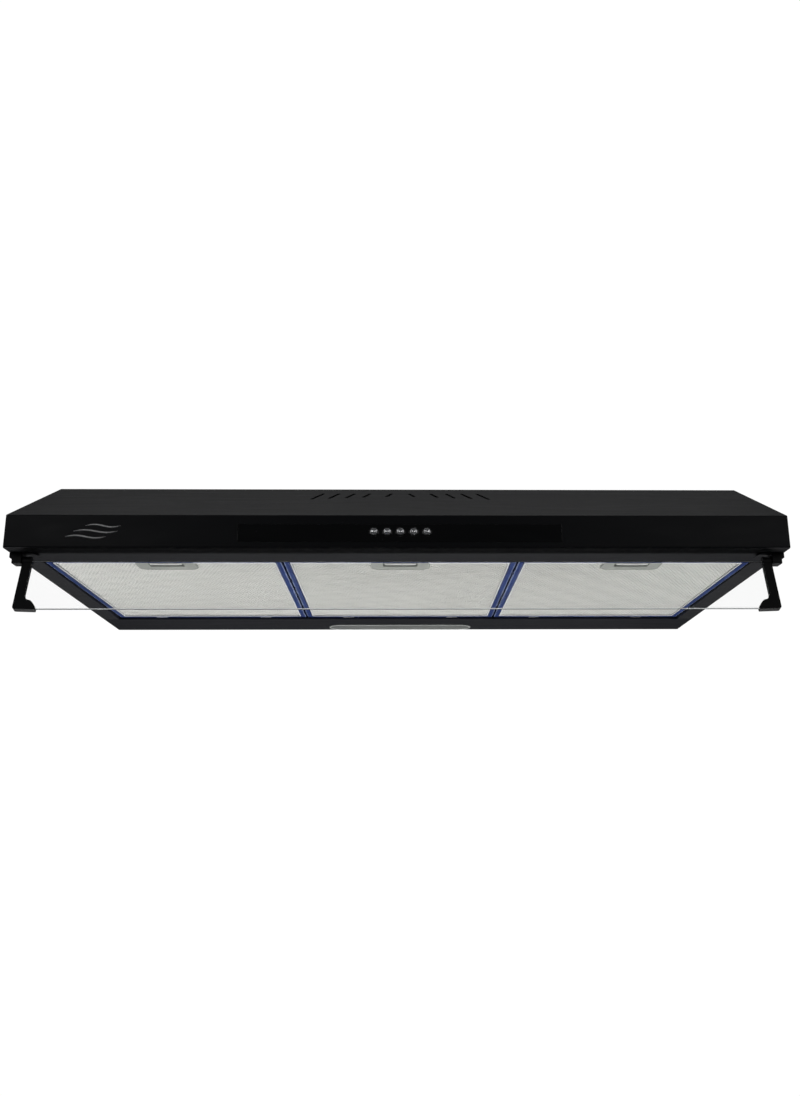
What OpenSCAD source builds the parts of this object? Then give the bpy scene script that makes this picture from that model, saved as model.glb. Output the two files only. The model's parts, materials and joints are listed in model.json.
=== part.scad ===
// Under cabinet range hood of the 90 cm class: a folded sheet casing with a sloping front, a row of
// push buttons, a swing-out clear visor, three tilting grease filters with sprung latches, a lamp,
// and a centrifugal blower that discharges through a round collar in the top.
// X runs right, Y runs back to the wall, Z runs up. The origin is the duct collar's axis on the
// outer face of the top.

/* [Casing] */
// Overall width across the end panels
body_w = 900; // [740:1:1100]
// Overall depth from the fascia to the wall face
body_d = 500; // [470:1:620]
// Overall height from the underside to the top
body_h = 128; // [120:1:170]
// Height of the upright fascia
fascia_h = 39; // [36:1:60]
// Depth taken up by the sloping front panel
slope_run = 172; // [120:1:190]
// Distance of the duct collar's axis in front of the wall face
collar_back = 164; // [130:1:200]
// Thickness of the casing sheet
sheet_t = 1; // [0.8:0.1:1.4]
// Outside radius of the casing's bends
bend_r = 2; // [1.6:0.1:4]
// Width of the lips folded in along the casing's bottom edges
bottom_lip = 3; // [2.5:0.1:6]
// Width of the flange folded in along the top of each end panel
end_flange = 12; // [8:1:20]

/* [Vent slots] */
// Slots on each side of the middle
vent_count = 5; // [3:1:6]
// Width of a slot
vent_w = 4; // [2:0.5:5]
// Distance of the slots' top ends up the slope
vent_top = 157.5; // [140:0.5:160]
// Length of the slot nearest the middle, measured up the slope
vent_short = 26; // [15:1:40]
// Extra length of each slot further out
vent_grow = 5.5; // [0:0.5:8]
// Spacing of the slots' top ends
vent_pitch = 20; // [14:0.5:26]
// Distance of the first slot's top end from the middle
vent_first = 11; // [8:0.5:20]
// Extra distance between the first slot and the second
vent_gap = 8; // [0:0.5:12]
// Lean of the slots away from the middle as they run down
vent_lean = 16; // [0:1:25]

/* [Underside] */
// Depth of the strip under the fascia
front_rail_d = 62; // [50:1:80]
// Width of each side rail
side_rail_w = 22; // [16:1:30]
// Depth of the lamp panel along the back
lamp_panel_d = 86; // [70:1:110]
// Height of the front rail's upright flanges
rail_flange_h = 6.5; // [5:0.5:7]
// Gap between neighbouring sheet edges on the underside
seam = 1.2; // [0.5:0.1:2]

/* [Controls] */
// Width of the gloss control strip
strip_w = 372; // [200:1:420]
// Height of the gloss control strip
strip_h = 21; // [18:1:24]
// Height of the strip's bottom edge above the underside
strip_rise = 7; // [5:1:10]
// Thickness of the control strip
strip_t = 0.8; // [0.6:0.1:1.5]
// Spacing of the push buttons
button_pitch = 15.2; // [12:0.1:20]
// Width of a button
button_w = 7.8; // [6:0.1:9]
// Height of a button
button_h = 7.3; // [6:0.1:9]
// How far a button stands out of the strip
button_out = 3.2; // [3:0.1:5]
// Travel of a button
button_travel = 2.8; // [1.5:0.1:2.8]
// Height of the buttons' middle above the underside
button_rise = 18.8; // [14:0.1:20]

/* [Visor] */
// Distance of the visor's pivot behind the fascia
pivot_back = 28; // [22:1:40]
// Distance of the visor's pivot below the underside
pivot_drop = 9; // [8:0.5:14]
// Angle of the arms in front of the vertical
visor_lean = 17; // [0:1:40]
// Length of an arm from the pivot to the end of its foot
arm_len = 65; // [50:1:90]
// Thickness of an arm across the visor's width
arm_w = 10.2; // [8:0.1:14]
// Depth of an arm across the visor's sheet
arm_d = 7; // [6:0.1:9]
// Radius of the arm's hub
hub_r = 5.5; // [5:0.1:7]
// Reach of the foot inwards beyond the arm
foot_reach = 18; // [12:1:26]
// Thickness of the clear sheet
visor_t = 3; // [2:0.1:4]
// Height of the clear sheet along the arms
visor_h = 60; // [45:1:60]
// Distance of the sheet's upper edge from the pivot
visor_start = 3; // [2:0.5:6]
// Distance of the arms' outer face from the casing's side
arm_inset = 14.8; // [12:0.1:24]
// Radius of the hinge pins
pin_r = 2; // [1.5:0.1:2.5]
// Depth of a hinge block, front to back
block_d = 16; // [12:1:24]

/* [Filters] */
// Number of filters side by side
filter_n = 3; // [3:1:3]
// Thickness of a filter frame
frame_t = 9; // [9:0.5:10]
// Width of a frame member
frame_member = 10; // [8:0.5:14]
// Thickness of the frame's folded metal
frame_wall = 1; // [0.8:0.1:1.2]
// Thickness of the aluminium mesh pressed flat
mesh_t = 1.2; // [0.8:0.1:3]
// Gap between neighbouring filters
filter_gap = 1; // [0.6:0.1:2]
// Gap between the outer filters and the side rails
filter_side_gap = 1.5; // [1:0.1:3]
// How far the filters sit above the underside
filter_recess = 3; // [2.5:0.1:4]
// Width of a latch plate
latch_w = 72; // [60:1:90]
// Depth of a latch plate, front to back
latch_d = 34; // [30:1:45]
// Width of the finger recess in a latch plate
grip_w = 42; // [34:1:54]
// Travel of a latch
latch_travel = 6; // [5.2:0.1:6]
// Width of the latch's tongue
tongue_w = 14; // [10:1:20]

/* [Lamp] */
// Length of the lamp cover
lens_l = 224; // [160:1:260]
// Width of the lamp cover
lens_w = 38; // [30:0.5:39]
// Distance of the lamp cover's middle from the wall face
lens_back = 25; // [24:0.5:30]
// Radius of a bulb
bulb_r = 11; // [9:0.5:13]

/* [Blower and duct] */
// Outside radius of the duct collar
collar_r = 60; // [50:1:62]
// Height of the duct collar above the top
collar_h = 27; // [24:1:50]
// Wall of the duct collar
collar_t = 1.5; // [1:0.1:2.5]
// Distance of the impeller's axis to the left of the collar
blower_x = 155; // [152:1:190]
// Distance of the impeller's axis in front of the collar's axis
blower_y = 30; // [28:1:34]
// Outside radius of the impeller
impeller_r = 60; // [50:1:62]
// Number of blades
blade_n = 30; // [18:1:36]
// Smallest radius of the scroll
scroll_r = 68; // [66:1:70]
// Growth of the scroll's radius at each quarter turn
scroll_step = 8; // [6:0.5:9]
// Height of the scroll inside
scroll_h = 68; // [66:1:72]
// Wall of the scroll and of the outlet box
plastic_t = 2; // [1.5:0.1:3]
// Space between the scroll's lid and the top
lid_gap = 11; // [10:0.5:14]

/* [Fixing] */
// Radius of the holes for the cabinet screws
cabinet_hole_r = 2.75; // [2:0.05:4]
// Distance of the cabinet screws from the casing's sides
cabinet_inset = 65; // [40:1:100]
// Distance between the front and rear cabinet screws
cabinet_pitch_y = 240; // [200:1:250]
// Radius of the holes for the wall screws
wall_hole_r = 3.5; // [2.5:0.1:5]
// Distance between the wall screws
wall_pitch = 560; // [440:1:640]
// Depth of the wall screws below the top
wall_drop = 30; // [20:1:50]

/* [Hidden] */
$fn = 48;

// Clearances
running = 0.05;      // radial clearance of a pin in a moving hub
sliding = 0.2;       // clearance around a piece that slides
side_play = 0.3;     // gap beside a piece that turns
corner_steps = 6;    // flats along each of the casing's bends
cut = 1;             // overshoot of a cutting shape beyond the surface it cuts

// Casing
half_w = body_w / 2;
y_back = collar_back;
y_front = y_back - body_d;
z_bot = -body_h;
z_fascia = z_bot + fascia_h;
slope_a = atan((body_h - fascia_h) / slope_run);
inside_w = body_w - 2 * sheet_t;
y_rail_end = y_front + front_rail_d;
y_lamp = y_back - lamp_panel_d;
rail_inner = half_w - sheet_t - side_rail_w;

// Filters
row_w = 2 * (rail_inner - filter_side_gap);
filter_w = (row_w - (filter_n - 1) * filter_gap) / filter_n;
filter_y0 = y_rail_end + 1;
filter_y1 = y_lamp - 0.5;
filter_l = filter_y1 - filter_y0;
filter_z = z_bot + filter_recess;
latch_y0 = frame_member;
latch_corner = 6;
grip_y0 = latch_y0 + 2;
grip_l = 18;
grip_depth = 6.5;
slide_z0 = 4;
slide_t = 2;
tongue_out = 5.2;
tongue_root = 4;
tab_w = 16;
tab_reach = 6;

// Visor
arm_outer = half_w - arm_inset;
arm_inner = arm_outer - arm_w;
pivot_y = y_front + pivot_back;
pivot_z = z_bot - pivot_drop;
pin_in_arm = 6;
pin_in_block = 10;
sheet_grip = 2.5;

// Controls
button_z = z_bot + button_rise;
bank_w = 5 * button_pitch + 8;
bank_h = 18;
bank_d = 23;
cap_back = 8;
plunger_back = 16;

// Lamp
lens_y = y_back - lens_back;
lens_flange = 1.5;
lens_drop = 1.2;
tray_h = 46;
tray_l = lens_l + 12;
tray_w = lens_w + 5;
bulb_z = z_bot + sheet_t + 24;
bulb_l = 62;
cap_r = 7;

// Blower
z_lid = -sheet_t - lid_gap;
z_scroll = z_lid - plastic_t - scroll_h;
box_half = collar_r + 10;
outlet_l = blower_x - box_half;
cutoff = 22;
scroll_r3 = scroll_r + 2 * scroll_step;
inlet_r = impeller_r - 8;
rotor_z0 = z_scroll + plastic_t + 6;
rotor_h = scroll_h - 14;
rotor_disc_z = rotor_z0 + 24;
motor_r = 33;
motor_h = 30;
shaft_r = 4;
screw_r = 2;
standoff_r = 5;
neck_r = collar_r + 3;
flange_r = collar_r + 8;
flange_t = 1;
ear_out = plastic_t + 2 * screw_r + 0.5;
ear_spots = [
    (scroll_r + ear_out) * [cos(45), -sin(45)],
    [0, scroll_step] - (scroll_r + scroll_step + ear_out) * [cos(45), sin(45)],
    [scroll_step, scroll_step] + (scroll_r3 + ear_out) * [-cos(45), sin(45)],
    [outlet_l / 2, scroll_step + scroll_r3 + ear_out]
];

// Backdraft flaps
flap_z = 9;
flap_pin_r = 1.5;
knuckle_r = 3;
flap_t = 0.8;
flap_r = collar_r - collar_t - 1.2;
knuckle_pitch = (flap_r - 9) / 3;
knuckle_l = knuckle_pitch - 1;

// Electrical
box_x = 250;
box_y = 105;
box_l = 90;
box_w = 56;
box_h = 34;
box_t = 2;
foot_h = 2;
gland_r = 10;
gland_bore = 4.5;
gland_h = 14;
loom_r = 3;
capacitor_r = 17;
capacitor_h = 60;

// Casing outline in Y and Z, moved inwards by d, in clockwise order from the bottom front.
function outline(d) = [
    [y_front + d, z_bot + d],
    [y_front + d, z_fascia - d * tan((90 - slope_a) / 2)],
    [y_front + slope_run + d * tan(slope_a / 2), -d],
    [y_back - d, -d],
    [y_back - d, z_bot + d]
];

// The casing's outline with its corners rounded: the outline inset by the bend radius and grown
// back by r, with each corner's arc in equal steps.
function rounded_points(r) = let (points = outline(bend_r), n = len(points)) [
    for (i = [0 : n - 1])
        let (before = points[i] - points[(i + n - 1) % n],
             after = points[(i + 1) % n] - points[i],
             start = atan2(before[1], before[0]) + 90,
             turn = (start - atan2(after[1], after[0]) + 270) % 360)
            for (k = [0 : corner_steps])
                points[i] + r * [cos(start - turn * k / corner_steps),
                                 sin(start - turn * k / corner_steps)]
];

// Turns a flat drawing in Y and Z into a solid of the given width, centred on x.
module along_x(width, x = 0) {
    translate([x, 0, 0])
        rotate([90, 0, 90])
            linear_extrude(width, center = true)
                children();
}

// A box from its two corners.
module block(low, high) {
    translate(low)
        cube(high - low);
}

// A flat bar with round ends.
module stadium(length, width) {
    square([length - width, width], center = true);
    for (side = [-1, 1])
        translate([side * (length - width) / 2, 0])
            circle(width / 2);
}

// Mirrors its children to the left when side is -1.
module sided(side) {
    mirror([side < 0 ? 1 : 0, 0, 0])
        children();
}

// Vent slots, drawn on the sloping panel and cut square to it.
module vent_cuts() {
    translate([0, y_front, z_fascia])
        rotate([slope_a, 0, 0])
            for (side = [-1, 1], i = [0 : vent_count - 1])
                sided(side)
                    translate([vent_first + i * vent_pitch + (i > 0 ? vent_gap : 0), vent_top,
                               -2 * bend_r])
                        rotate(vent_lean)
                            translate([0, -(vent_short + i * vent_grow) / 2, 0])
                                rotate(90)
                                    linear_extrude(4 * bend_r)
                                        stadium(vent_short + i * vent_grow, vent_w);
}

module cabinet_holes() {
    for (x = [-1, 1] * (half_w - cabinet_inset), y = [-1, 1] * cabinet_pitch_y / 2)
        translate([x, y, -sheet_t - cut])
            cylinder(h = sheet_t + 2 * cut, r = cabinet_hole_r);
}

module wall_holes() {
    for (x = [-1, 1] * wall_pitch / 2)
        translate([x, y_back - sheet_t - cut, -wall_drop])
            rotate([-90, 0, 0])
                cylinder(h = sheet_t + 2 * cut, r = wall_hole_r);
}

module canopy_wrap() {
    color([0.13, 0.13, 0.14])
        difference() {
            along_x(inside_w)
                difference() {
                    polygon(rounded_points(bend_r));
                    polygon(rounded_points(bend_r - sheet_t));
                    translate([y_front + bottom_lip, z_bot - cut])
                        square([body_d - 2 * bottom_lip, bend_r + 2 * cut]);
                }
            vent_cuts();
            cabinet_holes();
            wall_holes();
            translate([0, 0, -sheet_t - cut])
                cylinder(h = sheet_t + 2 * cut, r = neck_r + sliding / 2);
            translate([box_x, box_y, -sheet_t - cut])
                cylinder(h = sheet_t + 2 * cut, r = gland_r + sliding);
            block([-bank_w / 2 + 1, y_front - cut, button_z - bank_h / 2 + 2],
                  [bank_w / 2 - 1, y_front + sheet_t + cut, button_z + bank_h / 2 - 2]);
        }
}

module end_panel(side) {
    color([0.11, 0.11, 0.12])
        sided(side) {
            along_x(sheet_t, half_w - sheet_t / 2)
                polygon(rounded_points(bend_r));
            block([half_w - sheet_t - end_flange, y_front + slope_run + 2 * bend_r, -2 * sheet_t],
                  [half_w - sheet_t / 2, y_back - 2 * bend_r, -sheet_t]);
        }
}

module front_rail() {
    rail_y0 = y_front + bottom_lip + seam;
    color([0.2, 0.2, 0.21]) {
        block([-inside_w / 2, rail_y0, z_bot], [inside_w / 2, y_rail_end, z_bot + sheet_t]);
        for (y = [rail_y0, y_rail_end - sheet_t])
            block([-inside_w / 2, y, z_bot], [inside_w / 2, y + sheet_t, z_bot + rail_flange_h]);
    }
}

module side_rail(side) {
    color([0.26, 0.26, 0.27])
        sided(side) {
            block([rail_inner, y_rail_end + seam / 2, z_bot],
                  [half_w - sheet_t, y_lamp - seam / 2, z_bot + sheet_t]);
            block([rail_inner, y_rail_end + seam / 2, z_bot],
                  [rail_inner + sheet_t, y_lamp - seam / 2, z_bot + filter_recess + frame_t]);
        }
}

module lamp_panel() {
    panel_y1 = y_back - bottom_lip - sheet_t / 4;
    color([0.13, 0.13, 0.13])
        difference() {
            union() {
                block([-inside_w / 2, y_lamp, z_bot], [inside_w / 2, panel_y1, z_bot + sheet_t]);
                block([-inside_w / 2, y_lamp, z_bot],
                      [inside_w / 2, y_lamp + sheet_t, z_bot + filter_recess]);
            }
            translate([0, lens_y, z_bot - cut])
                linear_extrude(sheet_t + 2 * cut)
                    stadium(lens_l + 2 * sliding, lens_w + 2 * sliding);
        }
}

// Place of button i, counted from 0 at the left.
function button_x(i) = (i - 2) * button_pitch;

module control_strip() {
    color([0.03, 0.03, 0.035])
        difference() {
            block([-strip_w / 2, y_front - strip_t, z_bot + strip_rise],
                  [strip_w / 2, y_front, z_bot + strip_rise + strip_h]);
            for (i = [0 : 4])
                block([button_x(i) - button_w / 2 - sliding, y_front - strip_t - cut,
                       button_z - button_h / 2 - sliding],
                      [button_x(i) + button_w / 2 + sliding, y_front + cut,
                       button_z + button_h / 2 + sliding]);
        }
}

module switch_bank() {
    bank_y0 = y_front + sheet_t;
    color([0.75, 0.75, 0.72])
        difference() {
            block([-bank_w / 2, bank_y0, button_z - bank_h / 2],
                  [bank_w / 2, bank_y0 + bank_d, button_z + bank_h / 2]);
            for (i = [0 : 4]) {
                block([button_x(i) - button_w / 2 - sliding, bank_y0 - cut,
                       button_z - button_h / 2 - sliding],
                      [button_x(i) + button_w / 2 + sliding, y_front + cap_back + button_travel + 1,
                       button_z + button_h / 2 + sliding]);
                translate([button_x(i), y_front + cap_back, button_z])
                    rotate([-90, 0, 0])
                        cylinder(h = plunger_back - cap_back + button_travel + 1, r = 2 + sliding);
            }
        }
}

module button(i) {
    color([0.8, 0.8, 0.82]) {
        block([button_x(i) - button_w / 2, y_front - strip_t - button_out, button_z - button_h / 2],
              [button_x(i) + button_w / 2, y_front + cap_back, button_z + button_h / 2]);
        translate([button_x(i), y_front + cap_back, button_z])
            rotate([-90, 0, 0])
                cylinder(h = plunger_back - cap_back, r = 2);
    }
}

// Everything on the visor is drawn hanging straight down from its pivot, then leaned forwards.
module on_visor() {
    translate([0, pivot_y, pivot_z])
        rotate([-visor_lean, 0, 0])
            children();
}

module visor_blank(clearance) {
    block([-arm_inner - sheet_grip - clearance, -visor_t / 2 - clearance,
           -visor_start - visor_h - clearance],
          [arm_inner + sheet_grip + clearance, visor_t / 2 + clearance,
           -visor_start + clearance]);
}

module visor_sheet() {
    color([0.85, 0.9, 0.9, 0.4])
        on_visor()
            visor_blank(0);
}

// Outline of the right arm seen from the front: a straight shank and a foot that curves inwards.
module arm_outline() {
    foot_top = arm_len - 10;
    sweep_r = foot_reach * 0.7;
    translate([arm_inner, -arm_len])
        square([arm_w, arm_len]);
    difference() {
        polygon([[arm_inner - foot_reach + 4, -arm_len], [arm_inner, -arm_len],
                 [arm_inner, -foot_top + sweep_r], [arm_inner - sweep_r, -foot_top],
                 [arm_inner - foot_reach, -arm_len + 4]]);
        translate([arm_inner - sweep_r, -foot_top + sweep_r])
            circle(sweep_r);
    }
}

module visor_arm(side) {
    color([0.06, 0.06, 0.07])
        on_visor()
            sided(side)
                difference() {
                    union() {
                        translate([0, arm_d / 2, 0])
                            rotate([90, 0, 0])
                                linear_extrude(arm_d)
                                    arm_outline();
                        translate([arm_inner, 0, 0])
                            rotate([0, 90, 0])
                                cylinder(h = arm_w, r = hub_r);
                    }
                    visor_blank(0.1);
                    translate([arm_outer - pin_in_arm - 0.5, 0, 0])
                        rotate([0, 90, 0])
                            cylinder(h = pin_in_arm + 0.5 + cut, r = pin_r + running);
                }
}

module hinge_block(side) {
    block_x0 = arm_outer + side_play;
    step_z = 6;
    block_h = pivot_drop + 4;
    color([0.05, 0.05, 0.06])
        sided(side)
            difference() {
                translate([0, pivot_y + block_d / 2, z_bot])
                    rotate([90, 0, 0])
                        linear_extrude(block_d)
                            polygon([[block_x0, 0], [half_w - 0.5, 0], [half_w - 0.5, -step_z],
                                     [half_w - 3.5, -step_z - 2], [half_w - 3.5, -block_h],
                                     [block_x0, -block_h]]);
                translate([block_x0 - cut, pivot_y, pivot_z])
                    rotate([0, 90, 0])
                        cylinder(h = pin_in_block + cut, r = pin_r);
            }
}

module hinge_pin(side) {
    color([0.7, 0.7, 0.7])
        sided(side)
            translate([arm_outer - pin_in_arm, pivot_y, pivot_z])
                rotate([0, 90, 0])
                    cylinder(h = pin_in_arm + side_play + pin_in_block, r = pin_r);
}

// Filters are drawn with their front middle at the origin and their underside at z = 0.
module on_filter(i) {
    translate([(i - (filter_n - 1) / 2) * (filter_w + filter_gap), filter_y0, filter_z])
        children();
}

module filter_frame(i) {
    inner = filter_w / 2 - frame_member;
    channel = filter_w / 2 - frame_wall;
    color([0.3, 0.4, 0.62])
        on_filter(i) {
            difference() {
                block([-filter_w / 2, 0, 0], [filter_w / 2, filter_l, frame_t]);
                block([-inner, frame_member, -cut], [inner, filter_l - frame_member, frame_t + cut]);
                block([-channel, frame_wall, frame_wall],
                      [channel, filter_l - frame_wall, frame_t - frame_wall]);
                block([-tongue_w / 2 - 1 - sliding, -cut, slide_z0 - sliding],
                      [tongue_w / 2 + 1 + sliding, frame_wall + cut, slide_z0 + slide_t + sliding]);
            }
            for (side = [-1, 1])
                sided(side)
                    block([filter_w / 4, filter_l - frame_wall, 0.1],
                          [filter_w / 4 + tab_w, filter_l + tab_reach, 0.1 + frame_wall]);
        }
}

// Outline of a latch plate, with its rear corners cut off, grown by a clearance.
module latch_outline(grow) {
    side = latch_w / 2 + grow;
    rear = latch_y0 + latch_d + grow;
    polygon([[-side, latch_y0], [side, latch_y0], [side, rear - latch_corner],
             [side - latch_corner, rear], [-side + latch_corner, rear], [-side, rear - latch_corner]]);
}

module filter_mesh(i) {
    edge = filter_w / 2 - frame_wall - sliding;
    color([0.8, 0.8, 0.78])
        on_filter(i)
            difference() {
                block([-edge, frame_wall + sliding, frame_wall + sliding],
                      [edge, filter_l - frame_wall - sliding, frame_wall + sliding + mesh_t]);
                block([-latch_w / 2 - sliding, 0, 0], [latch_w / 2 + sliding, latch_y0, frame_t]);
                linear_extrude(frame_t)
                    latch_outline(sliding);
            }
}

module latch_plate(i) {
    color([0.68, 0.68, 0.68])
        on_filter(i)
            difference() {
                linear_extrude(frame_t)
                    latch_outline(0);
                block([-grip_w / 2, grip_y0, -cut], [grip_w / 2, grip_y0 + grip_l, grip_depth]);
                block([-tongue_w / 2 - 1 - sliding, latch_y0 - cut, slide_z0 - sliding],
                      [tongue_w / 2 + 1 + sliding, grip_y0 + cut, slide_z0 + slide_t + sliding]);
            }
}

module latch_slide(i) {
    lip_y = grip_y0 + grip_l - latch_travel - 3.5;
    color([0.6, 0.6, 0.6])
        on_filter(i) {
            block([-tongue_w / 2 - 1, tongue_root, slide_z0],
                  [tongue_w / 2 + 1, lip_y, slide_z0 + slide_t]);
            block([-grip_w / 2 + 3, lip_y, 1], [grip_w / 2 - 3, lip_y + 3, slide_z0 + slide_t]);
        }
}

module latch_tongue(i) {
    color([0.75, 0.75, 0.75])
        on_filter(i)
            block([-tongue_w / 2, -tongue_out, slide_z0], [tongue_w / 2, tongue_root, slide_z0 + slide_t]);
}

module lamp_cover() {
    color([0.85, 0.87, 0.85, 0.7])
        translate([0, lens_y, z_bot - lens_drop]) {
            linear_extrude(lens_drop + sheet_t)
                stadium(lens_l, lens_w);
            translate([0, 0, lens_drop + sheet_t])
                linear_extrude(sheet_t)
                    stadium(lens_l + 2 * lens_flange, lens_w + 2 * lens_flange);
        }
}

module lamp_reflector() {
    color([0.85, 0.85, 0.85])
        translate([0, lens_y, z_bot + sheet_t])
            difference() {
                block([-tray_l / 2, -tray_w / 2, 0], [tray_l / 2, tray_w / 2, tray_h]);
                block([-tray_l / 2 + 1, -tray_w / 2 + 0.6, -cut],
                      [tray_l / 2 - 1, tray_w / 2 - 0.6, tray_h - 1]);
            }
}

module lamp_holder(side) {
    holder_l = 24;
    color([0.9, 0.9, 0.87])
        sided(side)
            translate([tray_l / 2 - 1 - holder_l, lens_y, bulb_z])
                difference() {
                    rotate([0, 90, 0])
                        cylinder(h = holder_l, r = cap_r + 4);
                    translate([-cut, 0, 0])
                        rotate([0, 90, 0])
                            cylinder(h = 20 + cut, r = cap_r);
                }
}

module lamp_bulb(side) {
    cap_l = 18;
    cap_x = tray_l / 2 - 1 - 24;
    color([0.95, 0.93, 0.88])
        sided(side)
            translate([cap_x, lens_y, bulb_z])
                rotate([0, -90, 0]) {
                    translate([0, 0, -cap_l])
                        cylinder(h = cap_l + 4, r = cap_r);
                    translate([0, 0, 4])
                        cylinder(h = bulb_l - bulb_r, r = bulb_r);
                    translate([0, 0, 4 + bulb_l - bulb_r])
                        sphere(bulb_r);
                }
}

// Scroll outline around the impeller's axis, grown by a wall: three quarter arcs whose centres step
// with the growing radius, so that they meet smoothly, and the straight outlet to the right.
module scroll_outline(wall) {
    far = 2 * scroll_r3;
    intersection() {
        circle(scroll_r + wall);
        translate([0, -far])
            square(far);
    }
    translate([0, scroll_step])
        intersection() {
            circle(scroll_r + scroll_step + wall);
            translate([-far, -far])
                square(far);
        }
    translate([scroll_step, scroll_step])
        intersection() {
            circle(scroll_r3 + wall);
            translate([-far, 0])
                square(far);
        }
    square([scroll_r + wall, cutoff]);
    translate([0, cutoff - wall])
        square([outlet_l, scroll_step + scroll_r3 + 2 * wall - cutoff]);
}

module at_blower(z) {
    translate([-blower_x, -blower_y, z])
        children();
}

module scroll_housing() {
    color([0.2, 0.2, 0.22])
        at_blower(z_scroll) {
            linear_extrude(plastic_t)
                difference() {
                    scroll_outline(plastic_t);
                    circle(inlet_r);
                }
            translate([0, 0, plastic_t])
                linear_extrude(scroll_h - plastic_t)
                    difference() {
                        scroll_outline(plastic_t);
                        scroll_outline(0);
                    }
        }
}

module scroll_lid() {
    color([0.22, 0.22, 0.24])
        at_blower(z_lid - plastic_t)
            linear_extrude(plastic_t)
                difference() {
                    union() {
                        scroll_outline(plastic_t);
                        for (spot = ear_spots)
                            translate(spot)
                                circle(standoff_r + 4);
                    }
                    for (spot = ear_spots)
                        translate(spot)
                            circle(screw_r + sliding);
                }
}

module blower_screws() {
    head_h = 3;
    color([0.7, 0.7, 0.72])
        at_blower(z_lid - plastic_t)
            for (spot = ear_spots)
                translate([spot[0], spot[1], -head_h]) {
                    cylinder(h = head_h, r = 2 * screw_r);
                    cylinder(h = head_h + plastic_t + lid_gap - 2, r = screw_r);
                }
}

module blower_standoffs() {
    color([0.75, 0.75, 0.7])
        at_blower(z_lid)
            for (spot = ear_spots)
                translate([spot[0], spot[1], 0])
                    difference() {
                        cylinder(h = lid_gap, r = standoff_r);
                        translate([0, 0, -cut])
                            cylinder(h = lid_gap - 2 + cut, r = screw_r);
                    }
}

module inlet_guard() {
    guard_t = 3;
    color([0.15, 0.15, 0.16])
        at_blower(z_scroll - guard_t)
            linear_extrude(guard_t) {
                difference() {
                    circle(inlet_r + 8);
                    circle(inlet_r);
                }
                for (r = [inlet_r * 0.3, inlet_r * 0.65])
                    difference() {
                        circle(r + 1.5);
                        circle(r - 1.5);
                    }
                for (turn = [0 : 60 : 120])
                    rotate(turn)
                        square([2 * inlet_r + 4, 3], center = true);
            }
}

module impeller() {
    rim_t = 2;
    blade_root = impeller_r - 12;
    color([0.85, 0.85, 0.83])
        at_blower(rotor_z0)
            difference() {
                union() {
                    for (z = [0, rotor_h - rim_t])
                        translate([0, 0, z])
                            linear_extrude(rim_t)
                                difference() {
                                    circle(impeller_r);
                                    circle(blade_root);
                                }
                    translate([0, 0, rotor_disc_z - rotor_z0])
                        cylinder(h = rim_t, r = blade_root + 3);
                    translate([0, 0, rotor_disc_z - rotor_z0 - 10])
                        cylinder(h = 12, r = shaft_r + 5);
                    for (i = [0 : blade_n - 1])
                        rotate(i * 360 / blade_n)
                            translate([blade_root + 1, 0, 0])
                                rotate(25)
                                    translate([0, -0.6, 0])
                                        cube([10, 1.2, rotor_h]);
                }
                translate([0, 0, rotor_disc_z - rotor_z0 - 10 - cut])
                    cylinder(h = 12 + 2 * cut, r = shaft_r);
            }
}

module motor_body() {
    color([0.6, 0.62, 0.65])
        at_blower(z_lid - plastic_t - motor_h)
            difference() {
                cylinder(h = motor_h, r = motor_r);
                translate([0, 0, -cut])
                    cylinder(h = 20 + cut, r = shaft_r + running);
            }
}

module motor_shaft() {
    shaft_z0 = rotor_disc_z - 10;
    shaft_z1 = z_lid - plastic_t - motor_h + 18;
    color([0.8, 0.8, 0.82])
        at_blower(shaft_z0)
            cylinder(h = shaft_z1 - shaft_z0, r = shaft_r);
}

module outlet_box() {
    box_top = -sheet_t - flange_t;
    wall = box_half - plastic_t;
    color([0.24, 0.24, 0.26])
        difference() {
            block([-box_half, -box_half, z_scroll], [box_half, box_half, box_top]);
            block([-wall, -wall, z_scroll + plastic_t], [wall, wall, box_top - plastic_t]);
            translate([0, 0, box_top - plastic_t - cut])
                cylinder(h = plastic_t + 2 * cut, r = collar_r - collar_t);
            block([-box_half - cut, cutoff - blower_y, z_scroll + plastic_t],
                  [-wall + cut, scroll_step + scroll_r3 - blower_y, z_lid - plastic_t]);
        }
}

module capacitor() {
    color([0.88, 0.88, 0.86])
        translate([-blower_x - scroll_r3 - capacitor_r - 25, 0, -sheet_t - capacitor_h]) {
            cylinder(h = capacitor_h, r = capacitor_r);
            translate([0, 0, -6])
                cylinder(h = 6, r = capacitor_r - 6);
        }
}

module duct_collar() {
    boss_r = 4;
    boss_l = 5;
    inner_r = collar_r - collar_t;
    color([0.12, 0.12, 0.13])
        difference() {
            union() {
                difference() {
                    union() {
                        translate([0, 0, -sheet_t - flange_t])
                            cylinder(h = flange_t, r = flange_r);
                        translate([0, 0, -sheet_t])
                            cylinder(h = sheet_t, r = neck_r);
                        cylinder(h = collar_h, r = collar_r);
                    }
                    translate([0, 0, -sheet_t - flange_t - cut])
                        cylinder(h = sheet_t + flange_t + collar_h + 2 * cut, r = inner_r);
                }
                for (turn = [0, 180])
                    rotate(turn)
                        translate([0, inner_r + collar_t / 2, flap_z])
                            rotate([90, 0, 0])
                                cylinder(h = boss_l + collar_t / 2, r = boss_r);
                for (turn = [0, 180])
                    rotate(turn)
                        block([inner_r - 3, -5, flap_z - flap_t / 2 - 2],
                              [inner_r + collar_t / 2, 5, flap_z - flap_t / 2 - 0.1]);
            }
            translate([0, inner_r, flap_z])
                rotate([90, 0, 0])
                    cylinder(h = 2 * inner_r, r = flap_pin_r);
        }
}

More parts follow.
